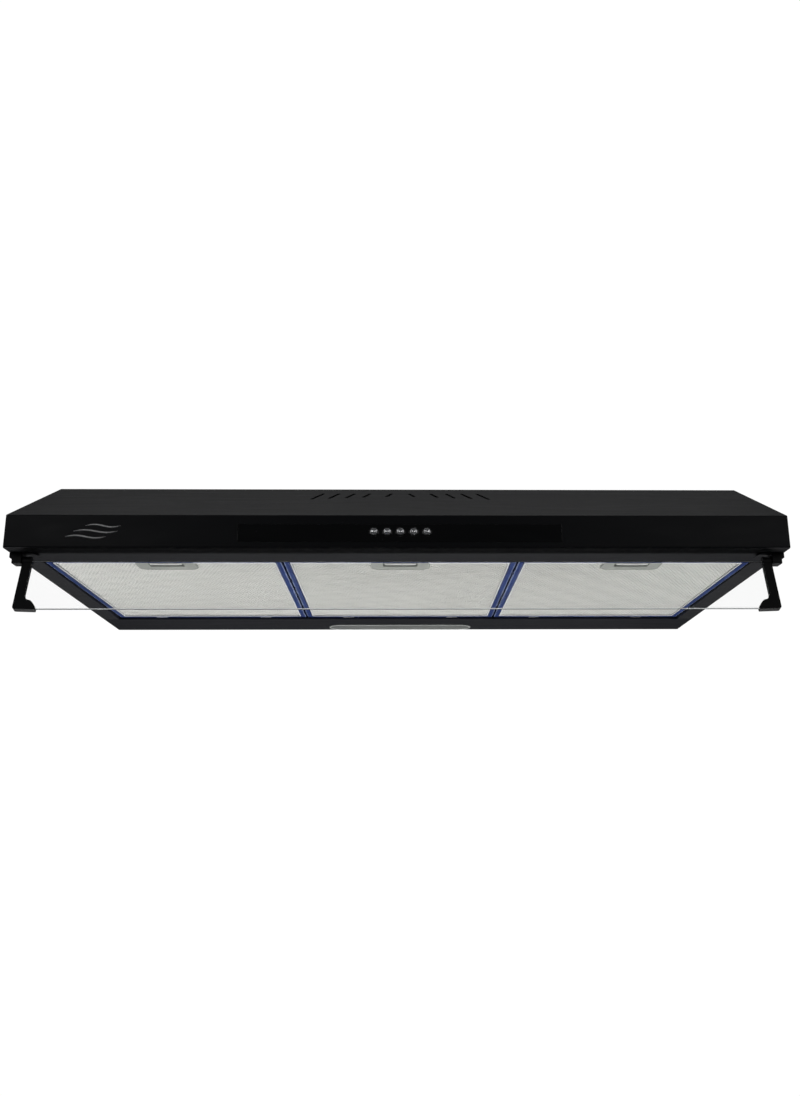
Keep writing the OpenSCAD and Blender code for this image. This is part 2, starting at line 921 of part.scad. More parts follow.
module damper_pin() {
    inner_r = collar_r - collar_t;
    color([0.7, 0.7, 0.7])
        translate([0, inner_r, flap_z])
            rotate([90, 0, 0])
                cylinder(h = 2 * inner_r, r = flap_pin_r);
}

// A half-moon flap with its own knuckles on the shared pin; the knuckles of the two flaps alternate.
module damper_flap(side) {
    own = side > 0 ? [-2.5, -0.5, 1.5] : [-1.5, 0.5, 2.5];
    color([0.75, 0.75, 0.76])
        translate([0, 0, flap_z])
            difference() {
                union() {
                    difference() {
                        translate([0, 0, -flap_t / 2])
                            cylinder(h = flap_t, r = flap_r);
                        translate([side > 0 ? -2 * flap_r + knuckle_r + side_play : -knuckle_r - side_play,
                                   -flap_r, -flap_t])
                            cube([2 * flap_r, 2 * flap_r, 2 * flap_t]);
                        for (end = [-1, 1])
                            translate([-5.5, end * (flap_r - 3) - 5, -flap_t])
                                cube([11, 10, 2 * flap_t]);
                    }
                    for (k = own)
                        translate([0, k * knuckle_pitch, 0]) {
                            rotate([90, 0, 0])
                                cylinder(h = knuckle_l, r = knuckle_r, center = true);
                            translate([side > 0 ? 0 : -knuckle_r - 2, -knuckle_l / 2, -flap_t / 2])
                                cube([knuckle_r + 2, knuckle_l, flap_t]);
                        }
                }
                rotate([90, 0, 0])
                    cylinder(h = 2 * flap_r, r = flap_pin_r + running, center = true);
            }
}

module terminal_box() {
    top = -sheet_t - foot_h;
    color([0.2, 0.2, 0.2])
        translate([box_x, box_y, top]) {
            difference() {
                block([-box_l / 2, -box_w / 2, -box_h], [box_l / 2, box_w / 2, 0]);
                block([-box_l / 2 + box_t, -box_w / 2 + box_t, -box_h - cut],
                      [box_l / 2 - box_t, box_w / 2 - box_t, -box_t]);
                translate([0, 0, -box_t - cut])
                    cylinder(h = box_t + 2 * cut, r = gland_r - 1);
            }
            for (x = [-1, 1] * (box_l / 2 - 3), y = [-1, 1] * (box_w / 2 - 3))
                block([x - 3, y - 3, 0], [x + 3, y + 3, foot_h]);
        }
}

module terminal_lid() {
    lid_z = -sheet_t - foot_h - box_h;
    color([0.16, 0.16, 0.16])
        translate([box_x, box_y, lid_z])
            block([-box_l / 2, -box_w / 2, -box_t], [box_l / 2, box_w / 2, 0]);
}

module cable_gland() {
    color([0.1, 0.1, 0.1])
        translate([box_x, box_y, -sheet_t - foot_h])
            difference() {
                union() {
                    cylinder(h = foot_h, r = gland_r + 4);
                    cylinder(h = foot_h + sheet_t + gland_h, r = gland_r);
                }
                translate([0, 0, -cut])
                    cylinder(h = foot_h + sheet_t + gland_h + 2 * cut, r = gland_bore);
            }
}

// A round cable through a list of points, held by a square clip at each turn.
module cable(points) {
    for (i = [0 : len(points) - 2]) {
        run = points[i + 1] - points[i];
        flat = norm([run[0], run[1]]);
        translate(points[i])
            rotate([0, atan2(flat, run[2]), atan2(run[1], run[0])])
                cylinder(h = norm(run), r = loom_r);
    }
    for (i = [1 : len(points) - 2])
        translate(points[i])
            cube(2 * loom_r + 2, center = true);
}

module wiring_loom() {
    loom_z = -sheet_t - lid_gap / 2;
    box_side = box_x - box_l / 2;
    lane_x = box_half + 12;
    lane_y = box_half + 20;
    color([0.1, 0.1, 0.12]) {
        cable([[box_side, lane_y + 10, loom_z - 10], [lane_x + 40, lane_y + 10, loom_z],
               [-blower_x + 20, lane_y + 10, loom_z], [-blower_x, -blower_y + 20, loom_z],
               [-blower_x, -blower_y + 20, z_lid]]);
        cable([[box_side, lane_y, loom_z - 20], [lane_x + 15, lane_y, loom_z - 20],
               [lane_x, y_front + slope_run, loom_z - 20],
               [bank_w / 4, y_front + sheet_t + bank_d + 12, button_z],
               [bank_w / 4, y_front + sheet_t + bank_d, button_z]]);
    }
}

canopy_wrap();
end_panel(-1);  // end_panel_left
end_panel(1);  // end_panel_right
front_rail();
side_rail(-1);  // side_rail_left
side_rail(1);  // side_rail_right
lamp_panel();
control_strip();
switch_bank();
button(0);  // button_1
button(1);  // button_2
button(2);  // button_3
button(3);  // button_4
button(4);  // button_5
visor_sheet();
visor_arm(-1);  // visor_arm_left
visor_arm(1);  // visor_arm_right
hinge_block(-1);  // hinge_block_left
hinge_block(1);  // hinge_block_right
hinge_pin(-1);  // hinge_pin_left
hinge_pin(1);  // hinge_pin_right
filter_frame(0);  // filter_frame_left
filter_frame(1);  // filter_frame_centre
filter_frame(2);  // filter_frame_right
filter_mesh(0);  // filter_mesh_left
filter_mesh(1);  // filter_mesh_centre
filter_mesh(2);  // filter_mesh_right
latch_plate(0);  // latch_plate_left
latch_plate(1);  // latch_plate_centre
latch_plate(2);  // latch_plate_right
latch_slide(0);  // latch_slide_left
latch_slide(1);  // latch_slide_centre
latch_slide(2);  // latch_slide_right
latch_tongue(0);  // latch_tongue_left
latch_tongue(1);  // latch_tongue_centre
latch_tongue(2);  // latch_tongue_right
lamp_cover();
lamp_reflector();
lamp_holder(-1);  // lamp_holder_left
lamp_holder(1);  // lamp_holder_right
lamp_bulb(-1);  // lamp_bulb_left
lamp_bulb(1);  // lamp_bulb_right
scroll_housing();
scroll_lid();
inlet_guard();
impeller();
motor_body();
motor_shaft();
blower_screws();
blower_standoffs();
outlet_box();
capacitor();
duct_collar();
damper_flap(-1);  // damper_flap_left
damper_flap(1);  // damper_flap_right
damper_pin();
terminal_box();
terminal_lid();
cable_gland();
wiring_loom();
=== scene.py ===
"""Looks of an under cabinet range hood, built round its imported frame.

Metres, in the frame of the CAD part: X right along the hood, Y back to the wall, Z up. The origin is
the duct collar's axis on the outer face of the top.
"""
import json
import math

import bmesh
import bpy
from mathutils import Matrix, Vector


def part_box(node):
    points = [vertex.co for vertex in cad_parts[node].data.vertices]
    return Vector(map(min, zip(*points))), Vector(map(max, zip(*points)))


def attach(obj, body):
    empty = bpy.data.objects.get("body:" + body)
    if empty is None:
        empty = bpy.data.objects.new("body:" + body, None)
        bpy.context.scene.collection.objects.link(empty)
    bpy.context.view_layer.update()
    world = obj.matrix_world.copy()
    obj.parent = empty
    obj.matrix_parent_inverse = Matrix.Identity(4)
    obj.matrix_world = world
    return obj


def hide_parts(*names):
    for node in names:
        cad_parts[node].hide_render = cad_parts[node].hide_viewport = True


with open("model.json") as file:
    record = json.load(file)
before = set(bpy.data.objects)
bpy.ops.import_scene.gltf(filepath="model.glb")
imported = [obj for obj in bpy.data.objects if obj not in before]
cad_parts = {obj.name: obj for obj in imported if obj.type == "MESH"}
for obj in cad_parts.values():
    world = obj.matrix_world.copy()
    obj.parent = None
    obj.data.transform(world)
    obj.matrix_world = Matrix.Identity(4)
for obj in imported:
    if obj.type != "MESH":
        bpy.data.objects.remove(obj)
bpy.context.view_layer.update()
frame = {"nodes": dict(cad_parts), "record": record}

MM = 0.001
SIDES = ("left", "centre", "right")
NODE_SLOTS = {part["node"]: part["material_slot"] for part in frame["record"]["subparts"]}


# ---- mesh helpers

def add_piece(name, bm, finishes, body, replaces=()):
    """Makes a mesh piece with its finishes, which rides on a body."""
    bmesh.ops.recalc_face_normals(bm, faces=bm.faces)
    mesh = bpy.data.meshes.new(name)
    bm.to_mesh(mesh)
    bm.free()
    for finish in finishes:
        mesh.materials.append(FINISHES[finish])
    piece = bpy.data.objects.new(name, mesh)
    bpy.context.scene.collection.objects.link(piece)
    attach(piece, body)
    if replaces:
        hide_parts(*replaces)
    return piece


def round_edges(piece, width, segments=2, angle=30):
    """Rounds a piece's sharp edges, and shades it smooth away from them."""
    bevel = piece.modifiers.new("Rounded edges", "BEVEL")
    bevel.width = width
    bevel.segments = segments
    bevel.limit_method = "ANGLE"
    bevel.angle_limit = math.radians(angle)
    bevel.use_clamp_overlap = True
    piece.data.shade_smooth()
    flat = piece.modifiers.new("Flat faces stay flat", "WEIGHTED_NORMAL")
    flat.mode = "FACE_AREA"
    flat.weight = 100
    return piece


def combine(piece, shapes, operation):
    """Cuts closed shapes out of a piece, or joins them to it, for good."""
    for cutter in shapes:
        bmesh.ops.recalc_face_normals(cutter, faces=cutter.faces)
        mesh = bpy.data.meshes.new("cutter")
        cutter.to_mesh(mesh)
        cutter.free()
        tool = bpy.data.objects.new("cutter", mesh)
        bpy.context.scene.collection.objects.link(tool)
        cut = piece.modifiers.new("Cut", "BOOLEAN")
        cut.object = tool
        cut.operation = operation
        cut.solver = "EXACT"
        bpy.context.view_layer.update()
        graph = bpy.context.evaluated_depsgraph_get()
        result = bpy.data.meshes.new_from_object(piece.evaluated_get(graph))
        piece.modifiers.remove(cut)
        piece.data = result
        bpy.data.objects.remove(tool)
    return piece


def add_block(bm, low, high, material_index=0):
    """A box between two corners."""
    corners = [bm.verts.new((x, y, z)) for z in (low[2], high[2])
               for x, y in ((low[0], low[1]), (high[0], low[1]), (high[0], high[1]), (low[0], high[1]))]
    for loop in ((3, 2, 1, 0), (4, 5, 6, 7), (0, 1, 5, 4), (1, 2, 6, 5), (2, 3, 7, 6), (3, 0, 4, 7)):
        bm.faces.new([corners[k] for k in loop]).material_index = material_index


def block(low, high):
    """A new mesh that holds one box."""
    bm = bmesh.new()
    add_block(bm, low, high)
    return bm


def skinned(rings):
    """A new mesh that holds one closed skin over rings of points."""
    bm = bmesh.new()
    skin_rings(bm, rings)
    return bm


def skin_rings(bm, rings, closed_ends=True, material_index=0):
    """Joins rings of as many points each into a skin, with a cap on each end."""
    made = [[bm.verts.new(point) for point in ring] for ring in rings]
    count = len(made[0])
    for near, far in zip(made, made[1:]):
        for k in range(count):
            face = bm.faces.new((near[k], near[(k + 1) % count], far[(k + 1) % count], far[k]))
            face.material_index = material_index
    if closed_ends:
        bm.faces.new(list(reversed(made[0]))).material_index = material_index
        bm.faces.new(made[-1]).material_index = material_index
    return made


def smooth_between_creases(piece, angle):
    """Shades a piece smooth, apart from its edges sharper than an angle."""
    piece.data.shade_smooth()
    piece.data.set_sharp_from_angle(angle=math.radians(angle))


def rounded_outline(corners, radius, steps=5):
    """The points of a convex outline whose corners are rounded by arcs."""
    points = []
    count = len(corners)
    for k in range(count):
        corner = Vector(corners[k])
        to_last = (Vector(corners[k - 1]) - corner).normalized()
        to_next = (Vector(corners[(k + 1) % count]) - corner).normalized()
        half = to_last.angle(to_next) / 2
        reach = radius / math.tan(half)
        centre = corner + (to_last + to_next).normalized() * (radius / math.sin(half))
        start = (corner + to_last * reach - centre).normalized()
        end = (corner + to_next * reach - centre).normalized()
        for step in range(steps + 1):
            points.append(centre + start.slerp(end, step / steps) * radius)
    return points


def rounded_rectangle(half_w, half_h, radius):
    """The points of a rectangle with rounded corners, about the origin."""
    corners = [(-half_w, -half_h), (half_w, -half_h), (half_w, half_h), (-half_w, half_h)]
    return rounded_outline(corners, radius, 6)


def circle(radius, turns=40):
    """The points of a circle about the origin."""
    angles = [2 * math.pi * k / turns for k in range(turns)]
    return [(radius * math.cos(angle), radius * math.sin(angle)) for angle in angles]


def stadium(length, width, steps=12):
    """The points of a strip with round ends, about the origin."""
    radius = width / 2
    points = []
    for side, turn in ((1, -90), (-1, 90)):
        for step in range(steps + 1):
            angle = math.radians(turn + 180 * step / steps)
            x = side * (length / 2 - radius) + radius * math.cos(angle)
            points.append(Vector((x, radius * math.sin(angle))))
    return points


# ---- node helpers

def set_inputs(tree, node, values):
    """Gives a node's inputs their links or their plain values."""
    for name, value in values.items():
        if isinstance(value, bpy.types.NodeSocket):
            tree.links.new(value, node.inputs[name])
        else:
            node.inputs[name].default_value = value


def add_node(tree, kind, values=None, **settings):
    """Adds a shader node of a kind given without its prefix, with values or links for its inputs."""
    made = tree.nodes.new("ShaderNode" + kind)
    for name, value in settings.items():
        setattr(made, name, value)
    set_inputs(tree, made, values or {})
    return made


def math_node(tree, operation, first, second=0.5):
    """The result of one sum on two values."""
    return add_node(tree, "Math", {0: first, 1: second}, operation=operation).outputs[0]


def ramp(tree, value, low, high, new_low=0.0, new_high=1.0):
    """A value turned from one range into another, and kept inside it."""
    made = add_node(tree, "MapRange", {"Value": value, "From Min": low, "From Max": high,
                                       "To Min": new_low, "To Max": new_high})
    return made.outputs["Result"]


def mix_colour(tree, share, first, second):
    """A blend of two colours."""
    first, second = [(*value, 1.0)[:4] if isinstance(value, tuple) else value for value in (first, second)]
    return add_node(tree, "Mix", {0: share, 6: first, 7: second}, data_type="RGBA").outputs[2]


def grey(value):
    return (value, value, value, 1.0)


def new_group(name, inputs, outputs):
    """Starts a shader node group: its tree, its inputs and its end node."""
    tree = bpy.data.node_groups.new(name, "ShaderNodeTree")
    for label, kind, value in inputs:
        socket = tree.interface.new_socket(label, in_out="INPUT", socket_type="NodeSocket" + kind)
        socket.default_value = value
    for label, kind in outputs:
        tree.interface.new_socket(label, in_out="OUTPUT", socket_type="NodeSocket" + kind)
    start = tree.nodes.new("NodeGroupInput")
    end = tree.nodes.new("NodeGroupOutput")
    return tree, start.outputs, end.inputs


def place_group(tree, name, values=None):
    """Puts a node group into a material, and returns its outputs."""
    return add_node(tree, "Group", values, node_tree=bpy.data.node_groups[name]).outputs


def object_coordinates(tree):
    return add_node(tree, "TexCoord").outputs["Object"]


def stretched(tree, place, factors):
    """A place, scaled along each axis."""
    return add_node(tree, "VectorMath", {0: place, 1: factors}, operation="MULTIPLY").outputs[0]


def noise(tree, scale, detail=2.0, roughness=0.5, stretch=None, distortion=0.0):
    """Noise in object coordinates. A stretch gives the scale along each axis."""
    place = object_coordinates(tree)
    if stretch:
        place = stretched(tree, place, stretch)
    made = add_node(tree, "TexNoise", {"Vector": place, "Scale": scale, "Detail": detail,
                                       "Roughness": roughness, "Distortion": distortion})
    return made.outputs["Fac"]


# ---- node groups

def make_powder_coat_group():
    """Powder coat: the peel of the cured paint, its fine grains, and a painted glint on their tops."""
    tree, given, result = new_group("powder coat", [("Peel size", "Float", 260.0),
                                                    ("Grain size", "Float", 1500.0),
                                                    ("Grain share", "Float", 0.5)],
                                    [("Height", "Float"), ("Grain glints", "Float")])
    peel = noise(tree, given["Peel size"], detail=1.0)
    grain = add_node(tree, "TexVoronoi", {"Vector": object_coordinates(tree),
                                          "Scale": given["Grain size"]})
    grains_and_glints = ramp(tree, grain.outputs["Distance"], 0.1, 0.7, 1.0, 0.0)
    part = math_node(tree, "MULTIPLY", grains_and_glints, given["Grain share"])
    tree.links.new(math_node(tree, "ADD", peel, part), result["Height"])
    tree.links.new(grains_and_glints, result["Grain glints"])


def make_dust_group():
    """Fine dust that has settled on faces turned up, in uneven patches."""
    tree, given, result = new_group("settled dust", [("Amount", "Float", 0.3)], [("Dust", "Float")])
    normal = add_node(tree, "NewGeometry").outputs["Normal"]
    up = add_node(tree, "SeparateXYZ", {0: normal}).outputs["Z"]
    facing_up = ramp(tree, up, 0.2, 0.95)
    patches = ramp(tree, noise(tree, 9.0, detail=5.0, roughness=0.65), 0.35, 0.75)
    specks = ramp(tree, noise(tree, 900.0, detail=2.0), 0.45, 0.75)
    both = math_node(tree, "ADD", math_node(tree, "MULTIPLY", patches, 0.6),
                     math_node(tree, "MULTIPLY", specks, 0.4))
    tree.links.new(math_node(tree, "MULTIPLY", math_node(tree, "MULTIPLY", both, facing_up),
                             given["Amount"]), result["Dust"])


def make_handling_group():
    """Faint smears left by hands and cloths, which change the gloss."""
    tree, given, result = new_group("handling marks", [("Size", "Float", 14.0)],
                                    [("Smears", "Float"), ("Clouds", "Float")])
    clouds = noise(tree, given["Size"], detail=4.0, roughness=0.6, distortion=0.6)
    wiped = noise(tree, 30.0, detail=3.0, stretch=(0.25, 1.0, 1.0), distortion=1.2)
    tree.links.new(ramp(tree, wiped, 0.4, 0.7), result["Smears"])
    tree.links.new(ramp(tree, clouds, 0.3, 0.7), result["Clouds"])


def make_brushed_group():
    """Rolling or brushing lines along one axis of the metal."""
    tree, given, result = new_group("rolled metal", [("Along", "Vector", (1.0, 60.0, 60.0)),
                                                     ("Fineness", "Float", 30.0)],
                                    [("Lines", "Float"), ("Blotches", "Float")])
    place = stretched(tree, object_coordinates(tree), given["Along"])
    lines = add_node(tree, "TexNoise", {"Vector": place, "Scale": given["Fineness"],
                                        "Detail": 4.0, "Roughness": 0.7})
    tree.links.new(lines.outputs["Fac"], result["Lines"])
    tree.links.new(ramp(tree, noise(tree, 35.0, detail=3.0), 0.3, 0.7), result["Blotches"])


def make_moulded_group():
    """The spark-eroded grain of a moulded part, and slow changes in its sheen."""
    tree, given, result = new_group("moulded grain", [("Grain size", "Float", 1100.0)],
                                    [("Height", "Float"), ("Sheen", "Float")])
    fine = noise(tree, given["Grain size"], detail=3.0, roughness=0.6)
    pits = add_node(tree, "TexVoronoi", {"Vector": object_coordinates(tree),
                                         "Scale": given["Grain size"]})
    hollow = ramp(tree, pits.outputs["Distance"], 0.0, 0.6)
    tree.links.new(math_node(tree, "ADD", fine, math_node(tree, "MULTIPLY", hollow, 0.4)), result["Height"])
    tree.links.new(ramp(tree, noise(tree, 40.0, detail=3.0), 0.3, 0.7), result["Sheen"])


def make_weave_group():
    """Two crossing families of thin lines, such as the strands of an expanded sheet seen from afar."""
    tree, given, result = new_group("diamond weave", [("Pitch", "Float", 0.003), ("Turn", "Float", 0.0)],
                                    [("Strands", "Float"), ("Shade", "Float")])
    turned = add_node(tree, "VectorRotate", {"Vector": object_coordinates(tree),
                                             "Angle": given["Turn"]}, rotation_type="Z_AXIS")
    parts = add_node(tree, "SeparateXYZ", {0: turned.outputs[0]})
    families = []
    for lean in (0.55, -0.55):
        sideways = math_node(tree, "MULTIPLY", parts.outputs["Y"], lean)
        across = math_node(tree, "ADD", parts.outputs["X"], sideways)
        turns = math_node(tree, "DIVIDE", math_node(tree, "MULTIPLY", across, 2 * math.pi), given["Pitch"])
        wave = math_node(tree, "SINE", turns)
        families.append(ramp(tree, wave, 0.1, 0.9))
    tree.links.new(math_node(tree, "MAXIMUM", *families), result["Strands"])
    streaks = noise(tree, 60.0, detail=4.0, stretch=(1.0, 0.3, 1.0))
    tree.links.new(ramp(tree, streaks, 0.3, 0.7), result["Shade"])


def make_film_group():
    """Thin protective film: its creases, its bubbles and where it has lifted."""
    tree, given, result = new_group("film creases", [("Crease size", "Float", 60.0)],
                                    [("Height", "Float"), ("Lifted", "Float")])
    creases = add_node(tree, "TexNoise", {"Vector": object_coordinates(tree),
                                          "Scale": given["Crease size"], "Detail": 3.0,
                                          "Distortion": 2.5})
    sharp = math_node(tree, "ABSOLUTE", math_node(tree, "SUBTRACT", creases.outputs["Fac"], 0.5))
    folds = ramp(tree, sharp, 0.0, 0.12, 1.0, 0.0)
    tree.links.new(folds, result["Height"])
    tree.links.new(ramp(tree, noise(tree, 22.0, detail=3.0), 0.5, 0.75), result["Lifted"])


for make_group in (make_powder_coat_group, make_dust_group, make_handling_group, make_brushed_group,
                   make_moulded_group, make_weave_group, make_film_group):
    make_group()


# ---- materials

def new_material(name, **shader_values):
    """A material with a Principled shader, whose plain values are given by name."""
    material = bpy.data.materials.new(name)
    material.use_nodes = True
    tree = material.node_tree
    shader = tree.nodes["Principled BSDF"]
    for label, value in shader_values.items():
        shader.inputs[label.replace("_", " ").title().replace("Ior", "IOR")].default_value = value
    return material, tree, shader.inputs


def tint(tree, shader, share, first, second):
    """Blends two colours into the base colour."""
    tree.links.new(mix_colour(tree, share, first, second), shader["Base Color"])


def gloss(tree, shader, value, low, high):
    """Lets a value from nought to one set the roughness."""
    tree.links.new(ramp(tree, value, 0.0, 1.0, low, high), shader["Roughness"])


def bump(tree, shader, height, strength, distance):
    """Lets a height raise the surface a little."""
    made = add_node(tree, "Bump", {"Height": height, "Strength": strength, "Distance": distance})
    tree.links.new(made.outputs["Normal"], shader["Normal"])


def powder_paint(name, colour, light_colour, grain_size, roughness, depth, grain_share):
    """Powder coat with a painted glint on its grains, and settled dust on top of it."""
    material, tree, shader = new_material(name, specular_ior_level=0.22)
    coat = place_group(tree, "powder coat", {"Grain size": grain_size, "Grain share": grain_share})
    marks = place_group(tree, "handling marks")
    dust = place_group(tree, "settled dust", {"Amount": 0.10})
    # The grains lighten the colour as a painted glint; the handling clouds lighten it as a real haze.
    paint = mix_colour(tree, math_node(tree, "MULTIPLY", coat["Grain glints"], 0.6), colour, light_colour)
    clouded = mix_colour(tree, math_node(tree, "MULTIPLY", marks["Clouds"], 0.2), paint, light_colour)
    tint(tree, shader, dust["Dust"], clouded, (0.30, 0.29, 0.27))
    gloss(tree, shader, marks["Smears"], roughness, roughness - 0.07)
    bump(tree, shader, coat["Height"], 0.35, depth)
    return material


def casing_paint():
    return powder_paint("casing_paint", (0.0085, 0.0088, 0.0112), (0.0145, 0.0148, 0.0178), 1500.0, 0.50,
                        0.00004, 0.5)


# Painted shade: a darker copy of the black powder coat, which makes the front rail read darker.
def front_rail_painted_shade():
    return powder_paint("front_rail_painted_shade", (0.0050, 0.0054, 0.0072), (0.0090, 0.0095, 0.0118), 1200.0,
                        0.52, 0.00005, 0.6)


def rail_paint():
    return powder_paint("rail_paint", (0.0105, 0.0108, 0.0125), (0.032, 0.0325, 0.036), 520.0, 0.55,
                        0.00025, 0.9)


def gloss_strip():
    """A glossy black strip with a faint haze of fingerprints."""
    material, tree, shader = new_material("gloss_strip", specular_ior_level=0.5, coat_roughness=0.04,
                                          coat_weight=0.6)
    marks = place_group(tree, "handling marks", {"Size": 30.0})
    dust = place_group(tree, "settled dust", {"Amount": 0.2})
    base = mix_colour(tree, marks["Clouds"], (0.0012, 0.0012, 0.0016), (0.0022, 0.0022, 0.0026))
    tint(tree, shader, dust["Dust"], base, (0.3, 0.29, 0.27))
    gloss(tree, shader, marks["Smears"], 0.07, 0.2)
    return material


def button_chrome():
    """Bright plating over a moulded cap."""
    material, tree, shader = new_material("button_chrome", metallic=0.8)
    marks = place_group(tree, "handling marks", {"Size": 90.0})
    grain = place_group(tree, "moulded grain", {"Grain size": 2500.0})
    tint(tree, shader, marks["Clouds"], (0.86, 0.86, 0.88), (0.94, 0.94, 0.95))
    gloss(tree, shader, marks["Smears"], 0.16, 0.28)
    bump(tree, shader, grain["Height"], 0.15, 0.00004)
    return material


def clear_sheet():
    """Clear sheet with a few wiping marks."""
    material, tree, shader = new_material("clear_sheet", transmission_weight=1.0, ior=1.49,
                                          specular_ior_level=0.15)
    marks = place_group(tree, "handling marks", {"Size": 8.0})
    tint(tree, shader, marks["Clouds"], (1.0, 1.0, 1.0), (0.99, 0.995, 0.995))
    gloss(tree, shader, marks["Smears"], 0.0, 0.03)
    return material


def lined_finish(name, dark, light, low_rough, high_rough, along, fineness=30.0, metallic=0.0):
    """A smooth face with faint lines along it and an uneven gloss."""
    material, tree, shader = new_material(name, metallic=metallic)
    lines = place_group(tree, "rolled metal", {"Along": along, "Fineness": fineness})
    tint(tree, shader, lines["Lines"], dark, light)
    gloss(tree, shader, lines["Blotches"], low_rough, high_rough)
    return material


def sheet_edge_painted_highlight():
    """Painted highlight: near white on the front half of the sheet's edge, for the glint along it."""
    return lined_finish("sheet_edge_painted_highlight", (0.86, 0.90, 0.90), (0.98, 1.0, 1.0), 0.2, 0.35, (1.0, 80.0, 80.0),
                        12.0)


def sheet_edge_painted_shade():
    """Painted shade: near black on the half of an edge that looks through the sheet's width, where it reads
    dark.
    """
    return lined_finish("sheet_edge_painted_shade", (0.02, 0.024, 0.024), (0.06, 0.066, 0.066), 0.12, 0.25,
                        (1.0, 80.0, 80.0), 12.0)


def moulding(name, colour, light_colour, roughness, grain_size=1100.0, depth=0.00008, dust_amount=0.08):
    """A moulded part with a fine eroded grain."""
    material, tree, shader = new_material(name, specular_ior_level=0.4)
    grain = place_group(tree, "moulded grain", {"Grain size": grain_size})
    dust = place_group(tree, "settled dust", {"Amount": dust_amount})
    base = mix_colour(tree, grain["Sheen"], colour, light_colour)
    tint(tree, shader, dust["Dust"], base, (0.32, 0.31, 0.29))
    gloss(tree, shader, grain["Sheen"], roughness, roughness + 0.12)
    bump(tree, shader, grain["Height"], 0.3, depth)
    return material


def black_plastic():
    return moulding("black_plastic", (0.0035, 0.0035, 0.0042), (0.0065, 0.0065, 0.0075), 0.55)


def white_plastic():
    return moulding("white_plastic", (0.66, 0.65, 0.61), (0.74, 0.73, 0.69), 0.42)


def latch_grey():
    return moulding("latch_grey", (0.33, 0.345, 0.32), (0.40, 0.415, 0.385), 0.4, 1600.0, 0.00005)


def pull_grey():
    return moulding("pull_grey", (0.66, 0.67, 0.64), (0.76, 0.77, 0.74), 0.3, 1900.0, 0.00004)


def scroll_plastic():
    return moulding("scroll_plastic", (0.035, 0.036, 0.039), (0.052, 0.053, 0.056), 0.5, 700.0, 0.00015)


def impeller_plastic():
    return moulding("impeller_plastic", (0.42, 0.42, 0.40), (0.50, 0.50, 0.48), 0.45, 900.0)


def loom_rubber():
    """Braided sleeve of the wiring loom."""
    material, tree, shader = new_material("loom_rubber", specular_ior_level=0.3)
    weave = place_group(tree, "diamond weave", {"Pitch": 0.0016})
    tint(tree, shader, weave["Strands"], (0.012, 0.012, 0.013), (0.032, 0.032, 0.034))
    gloss(tree, shader, weave["Shade"], 0.55, 0.75)
    bump(tree, shader, weave["Strands"], 0.5, 0.0002)
    return material


def metal(name, dark, light, low_rough, high_rough, along, fineness=30.0, depth=0.00004):
    """Bare metal with its rolling lines and a little uneven tarnish."""
    material, tree, shader = new_material(name, metallic=1.0)
    lines = place_group(tree, "rolled metal", {"Along": along, "Fineness": fineness})
    shade = math_node(tree, "MULTIPLY", math_node(tree, "ADD", lines["Lines"], lines["Blotches"]), 0.5)
    tint(tree, shader, shade, dark, light)
    gloss(tree, shader, lines["Blotches"], low_rough, high_rough)
    bump(tree, shader, lines["Lines"], 0.25, depth)
    return material


def bright_steel():
    return metal("bright_steel", grey(0.48), grey(0.66), 0.22, 0.36, (60.0, 60.0, 1.0))


def reflector_aluminium():
    return metal("reflector_aluminium", grey(0.70), grey(0.84), 0.18, 0.30, (1.0, 50.0, 50.0))


def damper_aluminium():
    return metal("damper_aluminium", grey(0.52), grey(0.66), 0.35, 0.5, (50.0, 1.0, 50.0))


def motor_metal():
    return metal("motor_metal", grey(0.26), grey(0.40), 0.38, 0.55, (60.0, 60.0, 1.0), 12.0, 0.0001)


def film():
    """Blue protective film over the folded aluminium, creased and lifted in places."""
    material, tree, shader = new_material("blue_film", metallic=0.75, coat_weight=0.2, coat_roughness=0.15)
    creases = place_group(tree, "film creases")
    lines = place_group(tree, "rolled metal", {"Along": (1.0, 1.0, 30.0)})
    deep = mix_colour(tree, lines["Lines"], (0.050, 0.105, 0.44), (0.085, 0.155, 0.55))
    tint(tree, shader, math_node(tree, "MULTIPLY", creases["Lifted"], 0.5), deep, (0.16, 0.25, 0.55))
    gloss(tree, shader, creases["Lifted"], 0.28, 0.42)
    bump(tree, shader, creases["Height"], 0.3, 0.0002)
    return material


def stretched_film(name, dark, light, low_rough, high_rough, metallic):
    """Film pulled over a fold, with fine creases."""
    material, tree, shader = new_material(name, metallic=metallic)
    creases = place_group(tree, "film creases", {"Crease size": 140.0})
    tint(tree, shader, creases["Height"], dark, light)
    gloss(tree, shader, creases["Lifted"], low_rough, high_rough)
    return material


def film_painted_highlight():
    """Painted highlight: a lighter film colour on the crown of the bead, for the glint along the ridge."""
    return stretched_film("film_crown_painted_highlight", (0.38, 0.48, 0.78), (0.58, 0.66, 0.90), 0.22, 0.36, 0.25)


def film_painted_shade():
    """Painted shade: a darker film colour on the frame's outer wall and on the slope up to its lip."""
    return stretched_film("film_painted_shade", (0.006, 0.012, 0.06), (0.018, 0.034, 0.13), 0.25, 0.4, 0.4)


def cut_edge():
    """The folded lip of the frame, bare and bright, where the film was cut back."""
    return lined_finish("cut_edge", (0.80, 0.82, 0.84), (0.96, 0.97, 0.98), 0.25, 0.4, (1.0, 1.0, 40.0),
                        metallic=0.15)


def bare_aluminium():
    return metal("bare_aluminium", grey(0.72), grey(0.86), 0.28, 0.42, (1.0, 1.0, 40.0))


